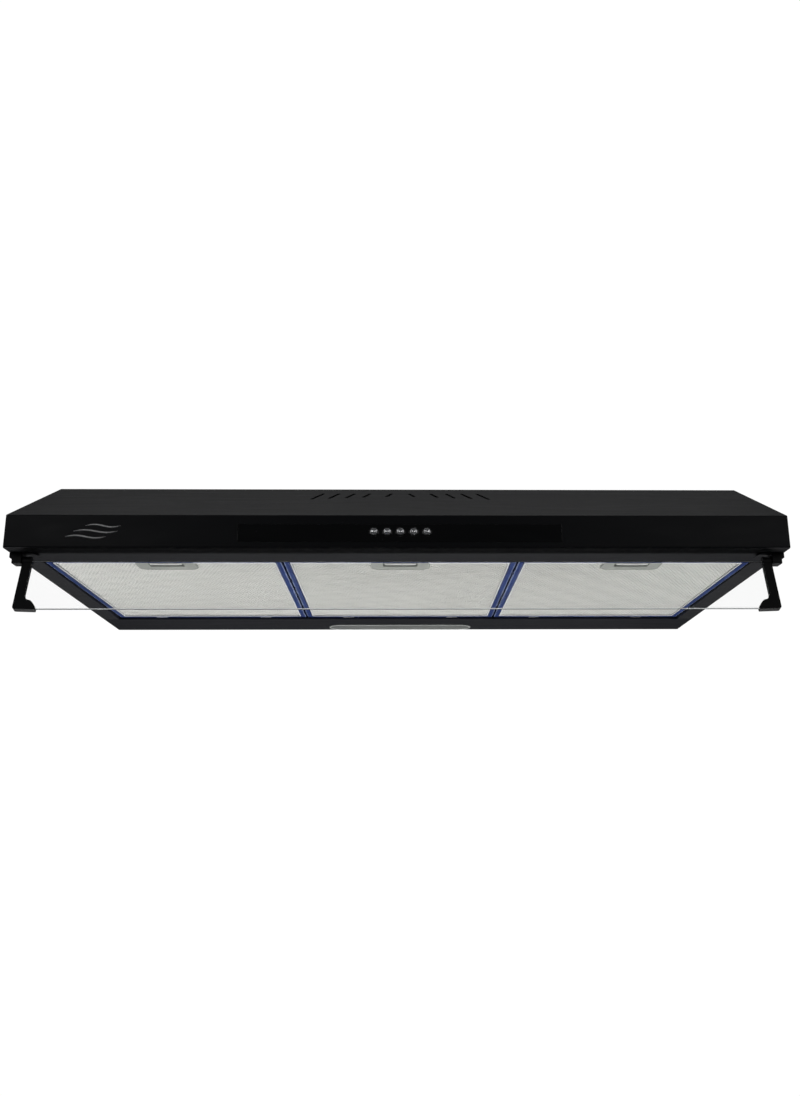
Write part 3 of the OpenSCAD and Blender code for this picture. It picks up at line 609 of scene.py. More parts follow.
def mesh_strands():
    """The bright strands of the mesh's outer layer."""
    material, tree, shader = new_material("mesh_strands", metallic=0.35)
    lines = place_group(tree, "rolled metal", {"Along": (1.0, 1.0, 1.0), "Fineness": 120.0})
    tint(tree, shader, lines["Lines"], (0.84, 0.84, 0.80), (0.97, 0.97, 0.94))
    gloss(tree, shader, lines["Blotches"], 0.35, 0.5)
    bump(tree, shader, lines["Lines"], 0.2, 0.00005)
    return material


def mesh_pack():
    """The inner layers of the mesh, which read as one pale woven pad."""
    material, tree, shader = new_material("mesh_pack", metallic=0.1)
    near = place_group(tree, "diamond weave", {"Pitch": 0.0047, "Turn": 0.12})
    deep = place_group(tree, "diamond weave", {"Pitch": 0.0036, "Turn": -0.35})
    strands = math_node(tree, "MAXIMUM", near["Strands"], math_node(tree, "MULTIPLY", deep["Strands"], 0.6))
    shaded = mix_colour(tree, strands, (0.40, 0.40, 0.375), (0.93, 0.93, 0.89))
    tint(tree, shader, math_node(tree, "MULTIPLY", near["Shade"], 0.3), shaded, (0.58, 0.58, 0.54))
    gloss(tree, shader, near["Shade"], 0.45, 0.6)
    bump(tree, shader, strands, 0.5, 0.0005)
    return material


def lamp_lens():
    """Frosted moulded lens, with fine ribs across it and slow clouds in its tint."""
    material, tree, shader = new_material("lamp_lens", transmission_weight=0.15, specular_ior_level=0.4)
    place = add_node(tree, "SeparateXYZ", {0: object_coordinates(tree)})
    ribs = math_node(tree, "SINE", math_node(tree, "MULTIPLY", place.outputs["X"], 2100.0))
    marks = place_group(tree, "handling marks", {"Size": 20.0})
    tint(tree, shader, marks["Clouds"], (0.15, 0.156, 0.15), (0.20, 0.207, 0.20))
    gloss(tree, shader, marks["Smears"], 0.35, 0.5)
    bump(tree, shader, ribs, 0.25, 0.0002)
    return material


def lens_rim():
    return moulding("lens_rim", (0.42, 0.44, 0.42), (0.52, 0.54, 0.52), 0.3)


def bulb_glass():
    """Opal glass of the bulbs."""
    material, tree, shader = new_material("bulb_glass", transmission_weight=0.3, ior=1.45)
    marks = place_group(tree, "handling marks", {"Size": 60.0})
    tint(tree, shader, marks["Clouds"], (0.86, 0.85, 0.80), (0.93, 0.92, 0.88))
    gloss(tree, shader, marks["Smears"], 0.12, 0.25)
    return material


def emblem_metal():
    """Satin plating of the small raised bars."""
    return lined_finish("emblem_metal", grey(0.45), grey(0.85), 0.25, 0.4, (1.0, 40.0, 40.0), metallic=0.45)


FINISHES = {finish.__name__: finish() for finish in (
    casing_paint, front_rail_painted_shade, rail_paint, gloss_strip, button_chrome, clear_sheet, sheet_edge_painted_highlight,
    black_plastic, white_plastic, latch_grey, pull_grey, scroll_plastic, impeller_plastic, loom_rubber,
    bright_steel, reflector_aluminium, damper_aluminium, motor_metal, film, film_painted_highlight, film_painted_shade,
    cut_edge, bare_aluminium, mesh_strands, mesh_pack, lamp_lens, lens_rim, bulb_glass, emblem_metal,
    sheet_edge_painted_shade)}
FINISHES["film_covered_aluminium"] = FINISHES["film"]
FINISHES["aluminium_mesh"] = FINISHES["mesh_pack"]


# ---- CAD nodes that stay

# Width of the rounding on the edges of a node, in millimetres. The others take the last value.
EDGE_ROUNDING = {"canopy_wrap": 0.45, "end_panel_left": 0.35, "end_panel_right": 0.35, "front_rail": 0.3,
                 "side_rail_left": 0.3, "side_rail_right": 0.3, "lamp_panel": 0.3, "control_strip": 0.3,
                 "hinge_block_left": 1.0, "hinge_block_right": 1.0, "other": 0.35}
SOLID_ROUND = ("lamp_bulb_left", "lamp_bulb_right", "impeller", "wiring_loom", "hinge_pin_left",
               "hinge_pin_right", "damper_pin", "motor_shaft")


def finish_cad_nodes():
    """Gives every CAD node its material, joins its faces up and rounds its edges."""
    for name, node in frame["nodes"].items():
        node.data.materials.clear()
        # The front rail takes the darker copy of the paint, as painted shade.
        node.data.materials.append(FINISHES["front_rail_painted_shade" if name == "front_rail" else NODE_SLOTS[name]])
        weld = node.modifiers.new("Join faces", "WELD")
        weld.merge_threshold = 0.00001
        if name in SOLID_ROUND:
            node.data.shade_smooth()
            node.modifiers.new("Join normals", "EDGE_SPLIT").split_angle = math.radians(35)
            continue
        flat = node.modifiers.new("Flat faces", "DECIMATE")
        flat.decimate_type = "DISSOLVE"
        flat.angle_limit = math.radians(1)
        round_edges(node, EDGE_ROUNDING.get(name, EDGE_ROUNDING["other"]) * MM)


# ---- filters

BEAD = 4.9          # distance of the bead's crown from the frame's outer edge
FRAME_LIP = 10.0    # distance of the frame's inner edge from its outer edge
FRONT_SHARE = 1.2   # width of the front member over that of the others
DROOP = 3.0         # how far a filter's front hangs below its rear
SHEET = 0.7         # thickness of the folded frame sheet
STRAND_PITCH = 4.3
STRAND_W = 1.0
STRAND_H = 0.35
SHORTEST_STRAND = 2
STRAND_LEAN = 28    # angle of the strands from the front-to-back direction


def frame_profile(depth):
    """The folded section of a filter frame, as reach inwards, height and finish, in millimetres."""
    # Finish 1 is a painted highlight on the bead's crown; finish 3 is painted shade on the outer wall and the
    # slope to the lip.
    outer = [(0.0, depth - 0.4, 3), (0.0, 1.4, 3), (0.3, 0.9, 3), (1.2, 0.3, 1), (1.9, 0.12, 0),
             (BEAD, 0.0, 0), (7.3, 0.12, 3), (8.3, 0.45, 2), (8.6, 0.1, 2), (FRAME_LIP - 0.3, 0.0, 2),
             (FRAME_LIP, 0.3, 2)]
    inner = [(FRAME_LIP, 0.8, 2), (BEAD + 1, 0.3 + SHEET, 0), (BEAD, SHEET, 0), (BEAD - 1, 0.3 + SHEET, 0),
             (0.3 + SHEET, 0.3 + SHEET, 0), (SHEET, 1.2, 0), (SHEET, depth - SHEET - 0.2, 0),
             (FRAME_LIP, depth - SHEET - 0.2, 0), (FRAME_LIP, depth - 0.1, 0), (0.6, depth - 0.1, 0)]
    return outer + inner


def mitred_ring(bm, profile, low, high, base):
    """Sweeps a section round a rectangle, with mitred corners and a wider front."""
    rings = []
    for inwards, height, _ in profile:
        x0, x1 = low.x + inwards * MM, high.x - inwards * MM
        y0, y1 = low.y + inwards * FRONT_SHARE * MM, high.y - inwards * MM
        z = base + height * MM
        rings.append([bm.verts.new(p) for p in ((x0, y0, z), (x1, y0, z), (x1, y1, z), (x0, y1, z))])
    for k, ring in enumerate(rings):
        after = rings[(k + 1) % len(rings)]
        for corner in range(4):
            near, far = corner, (corner + 1) % 4
            face = bm.faces.new((ring[near], ring[far], after[far], after[near]))
            face.material_index = profile[k][2]


def droop(bm):
    """Lets a filter's underside hang a little lower in front than at the rear."""
    low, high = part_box("filter_frame_centre")
    for v in bm.verts:
        forward = max(0.0, (high.y - v.co.y) / (high.y - low.y))
        lowness = min(1.0, (high.z - v.co.z) / (high.z - low.z))
        v.co.z -= DROOP * MM * forward * lowness


def span_inside(start, direction, polygon):
    """Where a line runs inside a convex outline given anticlockwise: its first and last distance."""
    first, last = -10.0, 10.0
    for k, corner in enumerate(polygon):
        edge = Vector(polygon[(k + 1) % len(polygon)]) - Vector(corner)
        inward = Vector((-edge.y, edge.x))
        rate = inward.dot(direction)
        room = inward.dot(start - Vector(corner))
        if abs(rate) < 1e-12:
            if room < 0:
                return None
        elif rate > 0:
            first = max(first, -room / rate)
        else:
            last = min(last, -room / rate)
    return (first, last) if last > first else None


def add_strand(bm, start, direction, first, last, z):
    """One strand of the mesh: a thin three-sided bar with its low crown outwards."""
    across = Vector((-direction.y, direction.x)) * STRAND_W * MM / 2
    near, far = start + direction * first, start + direction * last
    base = z + STRAND_H * MM
    rings = [[(p.x - across.x, p.y - across.y, base), (p.x, p.y, z), (p.x + across.x, p.y + across.y, base)]
             for p in (near, far)]
    skin_rings(bm, rings)


def add_strands(bm, opening, notch, lean, z):
    """A family of parallel strands across an opening, kept out of a notch."""
    pitch = STRAND_PITCH * MM
    low, high = Vector(opening[0]), Vector(opening[2])
    direction = Vector((math.sin(lean), math.cos(lean)))
    step = Vector((math.cos(lean), -math.sin(lean)))
    centre = (low + high) / 2
    count = int((high - low).length / pitch / 2) + 1
    for k in range(-count, count + 1):
        start = centre + step * (k * pitch)
        span = span_inside(start, direction, opening)
        if span is None:
            continue
        hole = span_inside(start, direction, notch)
        stretches = [span] if hole is None else [(span[0], hole[0]), (hole[1], span[1])]
        for first, last in stretches:
            if last - first > SHORTEST_STRAND * MM:
                add_strand(bm, start, direction, first, last, z)


def latch_plan(side):
    """The corners of a latch plate, anticlockwise, and its lowest and highest point."""
    low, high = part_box("latch_plate_" + side)
    cut = 6 * MM
    corners = [(low.x, low.y), (high.x, low.y), (high.x, high.y - cut), (high.x - cut, high.y),
               (low.x + cut, high.y), (low.x, high.y - cut)]
    return corners, low, high


def make_filter_frame(side):
    """The frame of folded sheet under its film, with the slot for the latch and the two rear tabs."""
    low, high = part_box("filter_frame_" + side)
    tongue_low, tongue_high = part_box("latch_tongue_" + side)
    wall_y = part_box("filter_mesh_" + side)[1].y + 1.2 * MM
    bm = bmesh.new()
    mitred_ring(bm, frame_profile((high.z - low.z) / MM), low, Vector((high.x, wall_y, high.z)), low.z)
    droop(bm)
    # Finishes 1 and 3 are painted highlight and painted shade.
    piece = add_piece("frame_of_filter_" + side, bm, ["film", "film_painted_highlight", "cut_edge", "film_painted_shade"],
                      "filter_" + side, ["filter_frame_" + side])
    slack = 1.3 * MM
    combine(piece, [block((tongue_low.x - slack, low.y - slack, tongue_low.z - 0.3 * MM),
                          (tongue_high.x + slack, low.y + 1.5 * MM, tongue_high.z + 0.3 * MM))], "DIFFERENCE")
    round_edges(piece, 0.12 * MM, 1, 50)
    centre, quarter = (low.x + high.x) / 2, (high.x - low.x) / 4
    for end, sign in (("a", -1), ("b", 1)):
        make_rear_tab(side, end, centre + sign * (quarter + 8 * MM), wall_y, high.y, low.z)


def make_rear_tab(side, end, x, wall_y, tip_y, z):
    """A tab of the frame that rests on the lamp panel, with a turned-up root."""
    half, thick = 8 * MM, 0.9 * MM
    z += 0.1 * MM
    outline = [(wall_y - 0.6 * MM, z), (tip_y - 1.5 * MM, z), (tip_y, z + 0.5 * MM), (tip_y, z + thick),
               (wall_y + 1.2 * MM, z + thick), (wall_y + 0.4 * MM, z + 2.2 * MM),
               (wall_y - 0.6 * MM, z + 3.0 * MM)]
    bm = skinned([[(edge, y, h) for y, h in outline] for edge in (x - half, x + half)])
    tab = add_piece(f"tab_{end}_of_filter_{side}", bm, ["bare_aluminium"], "filter_" + side)
    round_edges(tab, 0.2 * MM)


def make_filter_mesh(side):
    """The mesh: two crossing families of strands in front of the pale pack of inner layers."""
    low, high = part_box("filter_mesh_" + side)
    lip = (FRAME_LIP - 1.2) * MM
    front = low.y + lip + 2 * MM
    opening = [(low.x + lip, front), (high.x - lip, front), (high.x - lip, high.y - lip),
               (low.x + lip, high.y - lip)]
    notch = latch_plan(side)[0]
    notch = [(x, y - (12 * MM if k < 2 else 0)) for k, (x, y) in enumerate(notch)]
    bm = bmesh.new()
    lean = math.radians(STRAND_LEAN)
    add_strands(bm, opening, notch, lean, low.z + 0.1 * MM)
    add_strands(bm, opening, notch, -lean, low.z + STRAND_H * MM)
    droop(bm)
    strands = add_piece("mesh_strands_" + side, bm, ["mesh_strands"], "filter_" + side)
    strands.data.shade_flat()
    make_mesh_pack(side, low, high, notch)


def make_mesh_pack(side, low, high, notch):
    """The inner layers of the mesh, a thin pad with a wavy face that keeps clear of the latch."""
    edge = 0.4 * MM
    bm = bmesh.new()
    columns, rows = 70, 86
    face_z = low.z + 1.0 * MM
    keep_x = (notch[0][0] - edge, notch[1][0] + edge)
    keep_y = notch[3][1] + edge
    grid = []
    for i in range(columns + 1):
        x = low.x + edge + (high.x - low.x - 2 * edge) * i / columns
        line = []
        for j in range(rows + 1):
            y = low.y + edge + (high.y - low.y - 2 * edge) * j / rows
            wave = math.sin(x * 410 + 3 * math.sin(y * 35)) * math.sin(y * 330 + 2 * math.sin(x * 28))
            line.append(bm.verts.new((x, y, face_z + 0.12 * MM * wave)))
        grid.append(line)
    for i in range(columns):
        for j in range(rows):
            corners = (grid[i][j], grid[i + 1][j], grid[i + 1][j + 1], grid[i][j + 1])
            inside = all(keep_x[0] < v.co.x < keep_x[1] and v.co.y < keep_y for v in corners)
            if not inside:
                bm.faces.new(corners)
    loose = [v for v in bm.verts if not v.link_faces]
    bmesh.ops.delete(bm, geom=loose, context="VERTS")
    droop(bm)
    pad = add_piece("mesh_pack_" + side, bm, ["mesh_pack"], "filter_" + side,
                    ["filter_mesh_" + side])
    thick = pad.modifiers.new("Pack depth", "SOLIDIFY")
    thick.thickness = 1.6 * MM
    thick.offset = -1.0 if pad.data.polygons[0].normal.z < 0 else 1.0
    pad.data.shade_smooth()


# ---- latches

def make_latch(side):
    """A latch: its plate with the finger recess, and the sprung pull that carries the tongue."""
    corners, low, high = latch_plan(side)
    outline = rounded_outline(corners, 1.6 * MM)
    rim, flare = 0.45 * MM, 0.5 * MM
    centre = Vector(((low.x + high.x) / 2, (low.y + high.y) / 2))

    def grown(amount, z):
        """The plate's outline, grown or shrunk towards its centre, at a height."""
        ring = []
        for p in outline:
            x, y = p - centre
            ring.append((centre.x + math.copysign(abs(x) + amount, x),
                         centre.y + math.copysign(abs(y) + amount, y), z))
        return ring

    bm = skinned([grown(0, high.z), grown(0, low.z + flare), grown(-0.15 * MM, low.z + 0.15 * MM),
                  grown(-0.5 * MM, low.z), grown(-1.1 * MM, low.z), grown(-1.4 * MM, low.z + rim),
                  grown(-3.0 * MM, low.z + rim)])
    droop(bm)
    plate = add_piece("plate_of_latch_" + side, bm, ["latch_grey"], "filter_" + side,
                      ["latch_plate_" + side])
    grip_x, front, rear = 21 * MM, low.y + 2 * MM, low.y + 20 * MM
    slot_low, slot_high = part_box("latch_slide_" + side)
    shape = rounded_outline([(centre.x - grip_x, front), (centre.x + grip_x, front),
                             (centre.x + grip_x, rear), (centre.x - grip_x, rear)], 2.2 * MM)
    recess = skinned([[(p.x, p.y, z) for p in shape] for z in (low.z - 4 * MM, low.z + 5 * MM)])
    tunnel = block((centre.x - 8.2 * MM, low.y - 1 * MM, slot_high.z - 2.4 * MM),
                   (centre.x + 8.2 * MM, front + 1 * MM, slot_high.z + 0.3 * MM))
    combine(plate, [recess, tunnel], "DIFFERENCE")
    round_edges(plate, 0.25 * MM, 2, 40)
    make_pull(side, centre, low, slot_low, slot_high)


def make_pull(side, centre, low, slot_low, slot_high):
    """The pull: a bar bowed back in its middle, with a rounded section, on the slide's bar."""
    half, count = 19.2 * MM, 24
    tongue_half = 7.5 * MM
    front_y, depth = low.y + 6.8 * MM, 4.6 * MM
    base = low.z + 0.5 * MM
    section = [(0.0, 1.6), (0.0, 0.7), (0.12, 0.2), (0.3, 0.0), (0.75, 0.0), (0.93, 0.15), (1.0, 0.5),
               (1.0, 3.4), (0.55, 3.6), (0.5, 1.9)]
    rings = []
    for k in range(count + 1):
        u = 2 * k / count - 1
        bow = 1.1 * MM * (1 - u * u)
        taper = math.sqrt(max(0.0, 1 - max(0.0, abs(u) - 0.93) ** 2 / 0.07 ** 2)) * 0.35 + 0.65
        rings.append([(centre.x + u * half, front_y + bow + depth * (0.5 + (a - 0.5) * taper),
                       base + b * MM * (0.8 + 0.2 * taper)) for a, b in section])
    bm = skinned(rings)
    add_block(bm, (centre.x - tongue_half, slot_low.y, slot_high.z - 1.9 * MM),
              (centre.x + tongue_half, front_y + depth, slot_high.z - 0.1 * MM))
    for v in bm.verts:
        if v.co.z < slot_low.z + 2 * MM:
            v.co.z -= DROOP * MM
    pull = add_piece("pull_of_latch_" + side, bm, ["pull_grey"], "latch_" + side,
                     ["latch_slide_" + side])
    round_edges(pull, 0.15 * MM, 2, 45)


# ---- visor

PIVOT_Y, PIVOT_Z = -0.308, -0.137
VISOR_LEAN = math.radians(17)
HUB_R = 5.5 * MM
BORE_R = 2.05 * MM
ARM_DEPTH = 7 * MM


def smooth_path(points, steps=6):
    """A smooth path through given points, ends included."""
    path = []
    for k in range(len(points) - 1):
        before, start = Vector(points[max(k - 1, 0)]), Vector(points[k])
        end, after = Vector(points[k + 1]), Vector(points[min(k + 2, len(points) - 1)])
        for step in range(steps):
            t = step / steps
            bend = (2 * before - 5 * start + 4 * end - after) * t ** 2
            twist = (3 * start - before - 3 * end + after) * t ** 3
            path.append(0.5 * (2 * start + (end - before) * t + bend + twist))
    return path + [Vector(points[-1])]


def on_visor(x, down, forward):
    """A point given across the visor, down its arm from the pivot, and in front of it."""
    y = PIVOT_Y - math.sin(VISOR_LEAN) * down - math.cos(VISOR_LEAN) * forward
    z = PIVOT_Z - math.cos(VISOR_LEAN) * down + math.sin(VISOR_LEAN) * forward
    return (x, y, z)


def make_visor_arm(side, sign):
    """An arm: a round hub, a flat bar, and a foot that sweeps inwards under the sheet's end."""
    low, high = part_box("visor_arm_" + side)
    outer = max(abs(low.x), abs(high.x))
    bar_w = 10.2 * MM
    reach = outer - min(abs(low.x), abs(high.x))
    bar = [(0.6, -3.2), (9.6, -3.2), (10.2, -2.6), (10.2, 20)]
    toe = reach / MM - 3.2
    instep = smooth_path([(10.2, 42), (10.4, 45.5), (11.8, 49.2), (14.6, 51.8), (18.6, 53.2), (22.2, 56.8),
                          (toe - 0.4, 60.8)])
    sole = [(toe, 61.8), (toe, 64.6), (toe - 0.5, 65.0), (3.0, 64.2), (1.2, 63.7), (0.3, 62.6), (0.0, 61.0),
            (0.0, -2.6)]
    outline = bar + [tuple(p) for p in instep] + sole
    rings = [[on_visor(sign * (outer - u * MM), d * MM, depth) for u, d in outline]
             for depth in (-ARM_DEPTH / 2, ARM_DEPTH / 2)]
    arm = add_piece("arm_of_visor_" + side, skinned(rings), ["black_plastic"], "visor",
                    ["visor_arm_" + side])
    sections = ((outer - 0.4 * MM, 1.0), (outer - bar_w + 0.3 * MM, 1.0), (outer - bar_w, 0.94))
    hub = skinned([[(sign * x, PIVOT_Y + y * share, PIVOT_Z + z * share) for y, z in circle(HUB_R)]
                   for x, share in sections])
    bore = skinned([[(sign * x, PIVOT_Y + y, PIVOT_Z + z) for y, z in circle(BORE_R)]
                    for x in (outer + 1 * MM, outer - bar_w + 1.5 * MM)])
    combine(arm, [hub], "UNION")
    combine(arm, [bore], "DIFFERENCE")
    round_edges(arm, 0.9 * MM, 3, 45)


def make_visor_sheet():
    """The clear sheet, with a bevel round its edges, a painted highlight on their front half and painted
    shade on their rear half.
    """
    low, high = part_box("visor_sheet")
    thick, start, length = 3 * MM, 0.5 * MM, 62.5 * MM
    bevel = 0.25 * MM
    half = (high.x - low.x) / 2
    split = thick * 0.1
    rings = []
    for forward, inset in ((-thick / 2, bevel), (-thick / 2 + bevel, 0), (split, 0), (thick / 2 - bevel, 0),
                           (thick / 2, bevel)):
        corners = [(-half + inset, start + inset), (half - inset, start + inset),
                   (half - inset, start + length - inset), (-half + inset, start + length - inset)]
        rings.append([on_visor(x, down, forward) for x, down in corners])
    bm = skinned(rings)
    middle = Vector(on_visor(0.0, 0.0, split))
    forwards = Vector(on_visor(0.0, 0.0, 1.0)) - Vector(on_visor(0.0, 0.0, 0.0))
    # Edge faces in front of the split take the painted highlight, and those behind it the painted shade.
    for face in bm.faces:
        in_front = (face.calc_center_median() - middle).dot(forwards) > 0
        face.material_index = 0 if face.calc_area() > 0.01 else (1 if in_front else 2)
    add_piece("sheet_of_visor", bm, ["clear_sheet", "sheet_edge_painted_highlight", "sheet_edge_painted_shade"], "visor",
              ["visor_sheet"])


def make_hinge_saddle(side, sign):
    """A bowed strip of the front rail that bridges the top of a hub."""
    outer = 435.3 * MM
    path = smooth_path([(0.0, -130.9), (1.2, -129.2), (5.0, -128.5), (10.5, -128.6), (14.0, -129.6),
                        (17.0, -131.0)])
    thick = 0.7 * MM
    front, rear = PIVOT_Y - 7 * MM, PIVOT_Y + 6 * MM
    rings = []
    for y in (front, rear):
        under = [(sign * (outer - p.x * MM), y, p.y * MM) for p in path]
        over = [(x, y, z + thick) for x, y, z in reversed(under)]
        rings.append(under + over)
    saddle = add_piece("saddle_of_hinge_" + side, skinned(rings), ["rail_paint"], "casing")
    round_edges(saddle, 0.15 * MM, 2, 50)


# ---- lamp cover

def make_lamp_cover():
    """The lens: a shallow dome with a raised rim and fine ribs moulded across it."""
    low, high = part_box("lamp_cover")
    centre = (low + high) / 2
    opening_l, opening_w = 0.224, 0.038
    sections = ((-2.0, high.z), (-2.0, high.z - 0.8 * MM), (0.0, high.z - 0.9 * MM),
                (0.0, low.z + 0.9 * MM), (0.15, low.z + 0.3 * MM), (0.6, low.z), (1.6, low.z),
                (2.0, low.z + 0.5 * MM), (2.4, low.z + 0.7 * MM), (6.0, low.z + 0.35 * MM),
                (11.0, low.z + 0.15 * MM), (15.0, low.z + 0.05 * MM))
    bm = skinned([[(centre.x + p.x, centre.y + p.y, z)
                   for p in stadium(opening_l - 2 * inset * MM, opening_w - 2 * inset * MM)]
                  for inset, z in sections])
    for face in bm.faces:
        middle = face.calc_center_median()
        on_rim = any(abs(v.co.z - low.z) < 1e-6 for v in face.verts) and middle.z < low.z + 0.7 * MM
        face.material_index = 1 if on_rim and len(face.verts) == 4 else 0
    cover = add_piece("lens_of_lamp", bm, ["lamp_lens", "lens_rim"], "casing", ["lamp_cover"])
    smooth_between_creases(cover, 40)


# ---- buttons

BUTTON_CORNER = 2.6 * MM


def make_button(index):
    """A bright cap with a dished, faceted face inside a rounded square rim."""
    name = f"button_{index}"
    low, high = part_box(name)
    centre_x, centre_z = (low.x + high.x) / 2, (low.z + high.z) / 2
    half_w, half_h = (high.x - low.x) / 2, (high.z - low.z) / 2

    def ring(share, y):
        """The cap's outline, shrunk to a share of its size, at a depth."""
        return [(centre_x + p.x, y, centre_z + p.y)
                for p in rounded_rectangle(half_w * share, half_h * share, BUTTON_CORNER * share)]

    depths = ((1.0, high.y), (1.0, low.y + 0.7 * MM), (0.97, low.y + 0.3 * MM), (0.9, low.y + 0.05 * MM),
              (0.82, low.y), (0.74, low.y + 0.12 * MM), (0.5, low.y + 0.65 * MM), (0.24, low.y + 1.0 * MM),
              (0.2, low.y + 0.75 * MM), (0.1, low.y + 0.7 * MM))
    bm = skinned([ring(share, y) for share, y in depths])
    cap = add_piece(f"cap_of_button_{index}", bm, ["button_chrome"], frame_body(name),
                    [name])
    smooth_between_creases(cap, 50)
    make_button_bezel(index, centre_x, centre_z, half_w, half_h)


def make_button_bezel(index, centre_x, centre_z, half_w, half_h):
    """The raised black surround of a button, moulded with the strip."""
    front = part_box("control_strip")[0].y

    def ring(grow, y):
        """The button's outline, grown by some millimetres, at a depth."""
        extra = grow * MM
        return [(centre_x + p.x, y, centre_z + p.y)
                for p in rounded_rectangle(half_w + extra, half_h + extra, BUTTON_CORNER + extra)]

    bm = bmesh.new()
    path = ((1.9, front + 0.3 * MM), (1.9, front), (1.6, front - 0.5 * MM), (1.1, front - 0.8 * MM),
            (0.6, front - 0.75 * MM), (0.35, front - 0.4 * MM), (0.35, front + 0.3 * MM))
    rings = [ring(grow, y) for grow, y in path]
    skin_rings(bm, rings + [rings[0]], closed_ends=False)
    bmesh.ops.remove_doubles(bm, verts=bm.verts, dist=1e-7)
    bezel = add_piece(f"bezel_of_button_{index}", bm, ["gloss_strip"], "casing")
    smooth_between_creases(bezel, 50)


def frame_body(node):
    """The body that a CAD node rides on."""
    bodies = frame["record"]["behaviour"]["bodies"]
    return next(body for body, members in bodies.items() if node in members)


# ---- emblem

def make_emblem():
    """A plain mark of three bowed bars, like moving air, on the left of the fascia."""
    wrap_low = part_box("canopy_wrap")[0]
    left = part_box("control_strip")[0].x - 0.195
    base = wrap_low.z + 13 * MM
    count = 28
    for k, (start, length) in enumerate(((0.0, 46), (9.0, 50), (22.0, 40))):
        rings = []
        for i in range(count + 1):
            u = i / count
            x = left + (start + length * u) * MM
            z = base + (k * 6.5 + 1.5 * math.sin(2 * math.pi * u)) * MM
            half = (1.15 * math.sin(math.pi * min(max(u, 0.03), 0.97)) ** 0.4) * MM
            rings.append([(x, wrap_low.y + 0.2 * MM, z - half), (x, wrap_low.y - 0.45 * MM, z - half * 0.8),
                          (x, wrap_low.y - 0.7 * MM, z), (x, wrap_low.y - 0.45 * MM, z + half * 0.8),
                          (x, wrap_low.y + 0.2 * MM, z + half)])
        bar = add_piece(f"emblem_bar_{k + 1}", skinned(rings), ["emblem_metal"], "casing")
        round_edges(bar, 0.08 * MM, 1, 50)


# ---- stage, light, camera

def make_floor():
    """A pale round floor well below the hood, which fades into the white surroundings."""
    floor_z, radius = -1.1, 3.0
    bm = bmesh.new()
    bmesh.ops.create_grid(bm, x_segments=2, y_segments=2, size=radius)
    for v in bm.verts:
        v.co.z = floor_z
    mesh = bpy.data.meshes.new("floor")
    bm.to_mesh(mesh)
    bm.free()
    material, tree, shader = new_material("floor_paint", roughness=0.8, specular_ior_level=0.2)
    shader["Base Color"].default_value = grey(0.8)
    place = add_node(tree, "SeparateXYZ", {0: object_coordinates(tree)})
    flat = add_node(tree, "CombineXYZ", {"X": place.outputs["X"], "Y": place.outputs["Y"]})
    distance = add_node(tree, "VectorMath", {0: flat.outputs[0]}, operation="LENGTH")
    tree.links.new(ramp(tree, distance.outputs["Value"], 0.7, 1.4, 1.0, 0.0), shader["Alpha"])
    shader["Emission Color"].default_value = grey(1.0)
    tree.links.new(math_node(tree, "MULTIPLY", seen_directly(tree, 0), 0.75), shader["Emission Strength"])
    mesh.materials.append(material)
    floor = bpy.data.objects.new("floor", mesh)
    bpy.context.scene.collection.objects.link(floor)


def add_light(name, place, aim, size, power, spread=180):
    """A soft rectangular lamp that the camera doesn't see."""
    light = bpy.data.lights.new(name, "AREA")
    light.shape = "RECTANGLE"
    light.size, light.size_y = size
    light.energy = power
    light.spread = math.radians(spread)
    lamp = bpy.data.objects.new(name, light)
    lamp.location = place
    lamp.rotation_euler = (Vector(aim) - Vector(place)).to_track_quat("-Z", "Y").to_euler()
    lamp.visible_camera = False
    lamp.visible_transmission = False
    bpy.context.scene.collection.objects.link(lamp)


def make_lights():
    """Soft light from above and from below, with little from the front."""
    add_light("overhead", (0.0, 0.25, 1.5), (0.0, -0.2, -0.1), (2.2, 1.2), 2.7, 120)
    add_light("underside", (0.0, 0.05, -0.95), (0.0, -0.08, 0.0), (1.5, 0.55), 4.5, 100)
    add_light("rear", (0.0, 2.6, 0.15), (0.0, 0.0, -0.1), (2.0, 0.8), 6.0)
    for side, sign in (("left", -1), ("right", 1)):
        add_light(side + "_side", (sign * 2.4, 0.5, 0.5), (0.0, 0.0, -0.1), (0.8, 0.8), 2.0)
        add_light("front_" + side, (sign * 1.1, -1.9, 0.35), (0.0, -0.3, -0.1), (0.6, 0.6), 2.0)


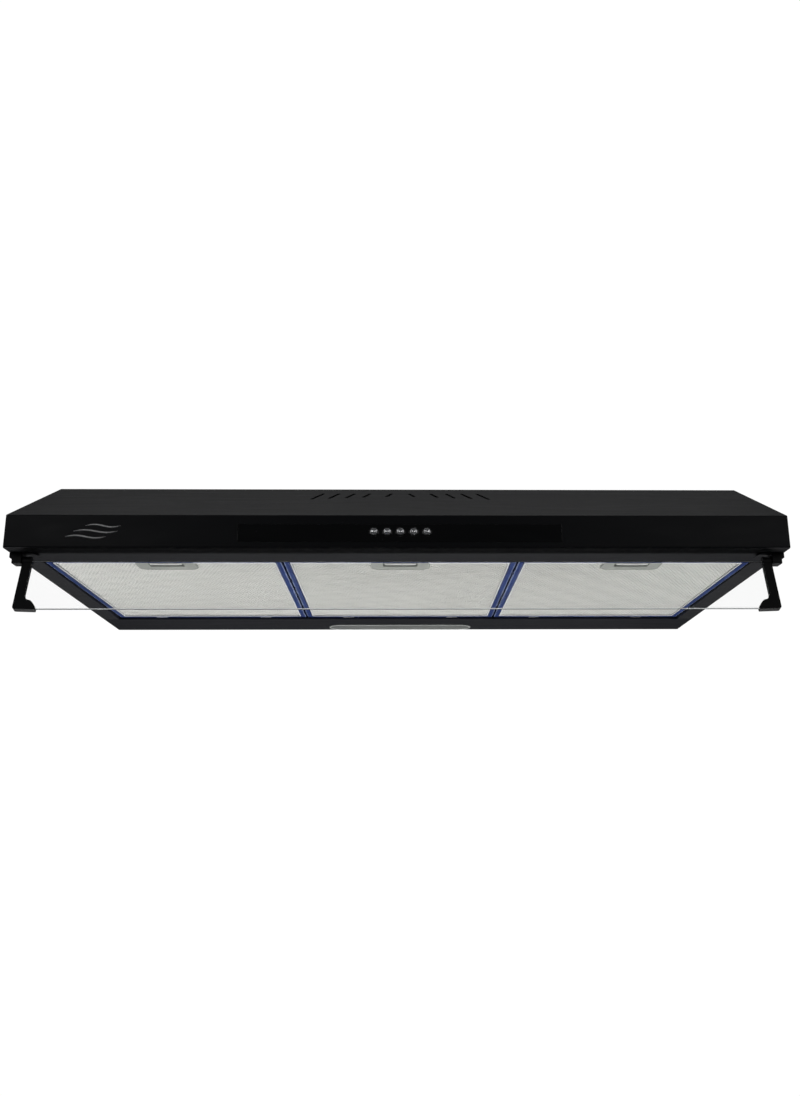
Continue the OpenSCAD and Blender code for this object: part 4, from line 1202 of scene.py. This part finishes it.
def seen_directly(tree, first_bounce):
    """One where the camera looks straight at something, or straight through the clear sheet."""
    rays = add_node(tree, "LightPath")
    mirrored = math_node(tree, "SUBTRACT", rays.outputs["Ray Depth"], rays.outputs["Transmission Depth"])
    return math_node(tree, "LESS_THAN", mirrored, first_bounce + 0.5)


def make_world():
    """White to the camera, and a dim even grey to everything else.

    Cycles counts one bounce more for a world than for a surface.
    """
    world = bpy.data.worlds.new("studio")
    bpy.context.scene.world = world
    world.use_nodes = True
    tree = world.node_tree
    tree.nodes.clear()
    seen = add_node(tree, "Background", {"Color": grey(1.0), "Strength": 1.03})
    given = add_node(tree, "Background", {"Color": (0.9, 0.95, 1.0, 1.0), "Strength": 0.035})
    both = add_node(tree, "MixShader", {0: seen_directly(tree, 1),
                                        1: given.outputs[0], 2: seen.outputs[0]})
    end = tree.nodes.new("ShaderNodeOutputWorld")
    tree.links.new(both.outputs[0], end.inputs["Surface"])


def make_camera():
    """The camera, low in front of the hood and looking a little up."""
    yaw, pitch, roll = math.radians(1.47), math.radians(15.32), math.radians(-0.36)
    forward = Vector((math.sin(yaw) * math.cos(pitch), math.cos(yaw) * math.cos(pitch), math.sin(pitch)))
    level = Vector((math.cos(yaw), -math.sin(yaw), 0.0))
    upright = level.cross(forward)
    right = level * math.cos(roll) + upright * math.sin(roll)
    up = upright * math.cos(roll) - level * math.sin(roll)
    data = bpy.data.cameras.new("camera")
    data.lens = 33.573
    data.sensor_width = 36.0
    data.shift_x = -0.0228
    data.clip_start = 0.01
    camera = bpy.data.objects.new("camera", data)
    camera.matrix_world = Matrix.Translation((-0.0008, -1.4622, -0.4368)) @ Matrix(
        (right, up, -forward)).transposed().to_4x4()
    bpy.context.scene.collection.objects.link(camera)
    bpy.context.scene.camera = camera


make_camera()
make_world()
make_floor()
make_lights()
bpy.context.scene.view_settings.view_transform = "Standard"

finish_cad_nodes()
for side in SIDES:
    make_filter_frame(side)
    make_filter_mesh(side)
    make_latch(side)
for side, sign in (("left", -1), ("right", 1)):
    make_visor_arm(side, sign)
    make_hinge_saddle(side, sign)
make_visor_sheet()
make_lamp_cover()
for index in range(1, 6):
    make_button(index)
make_emblem()
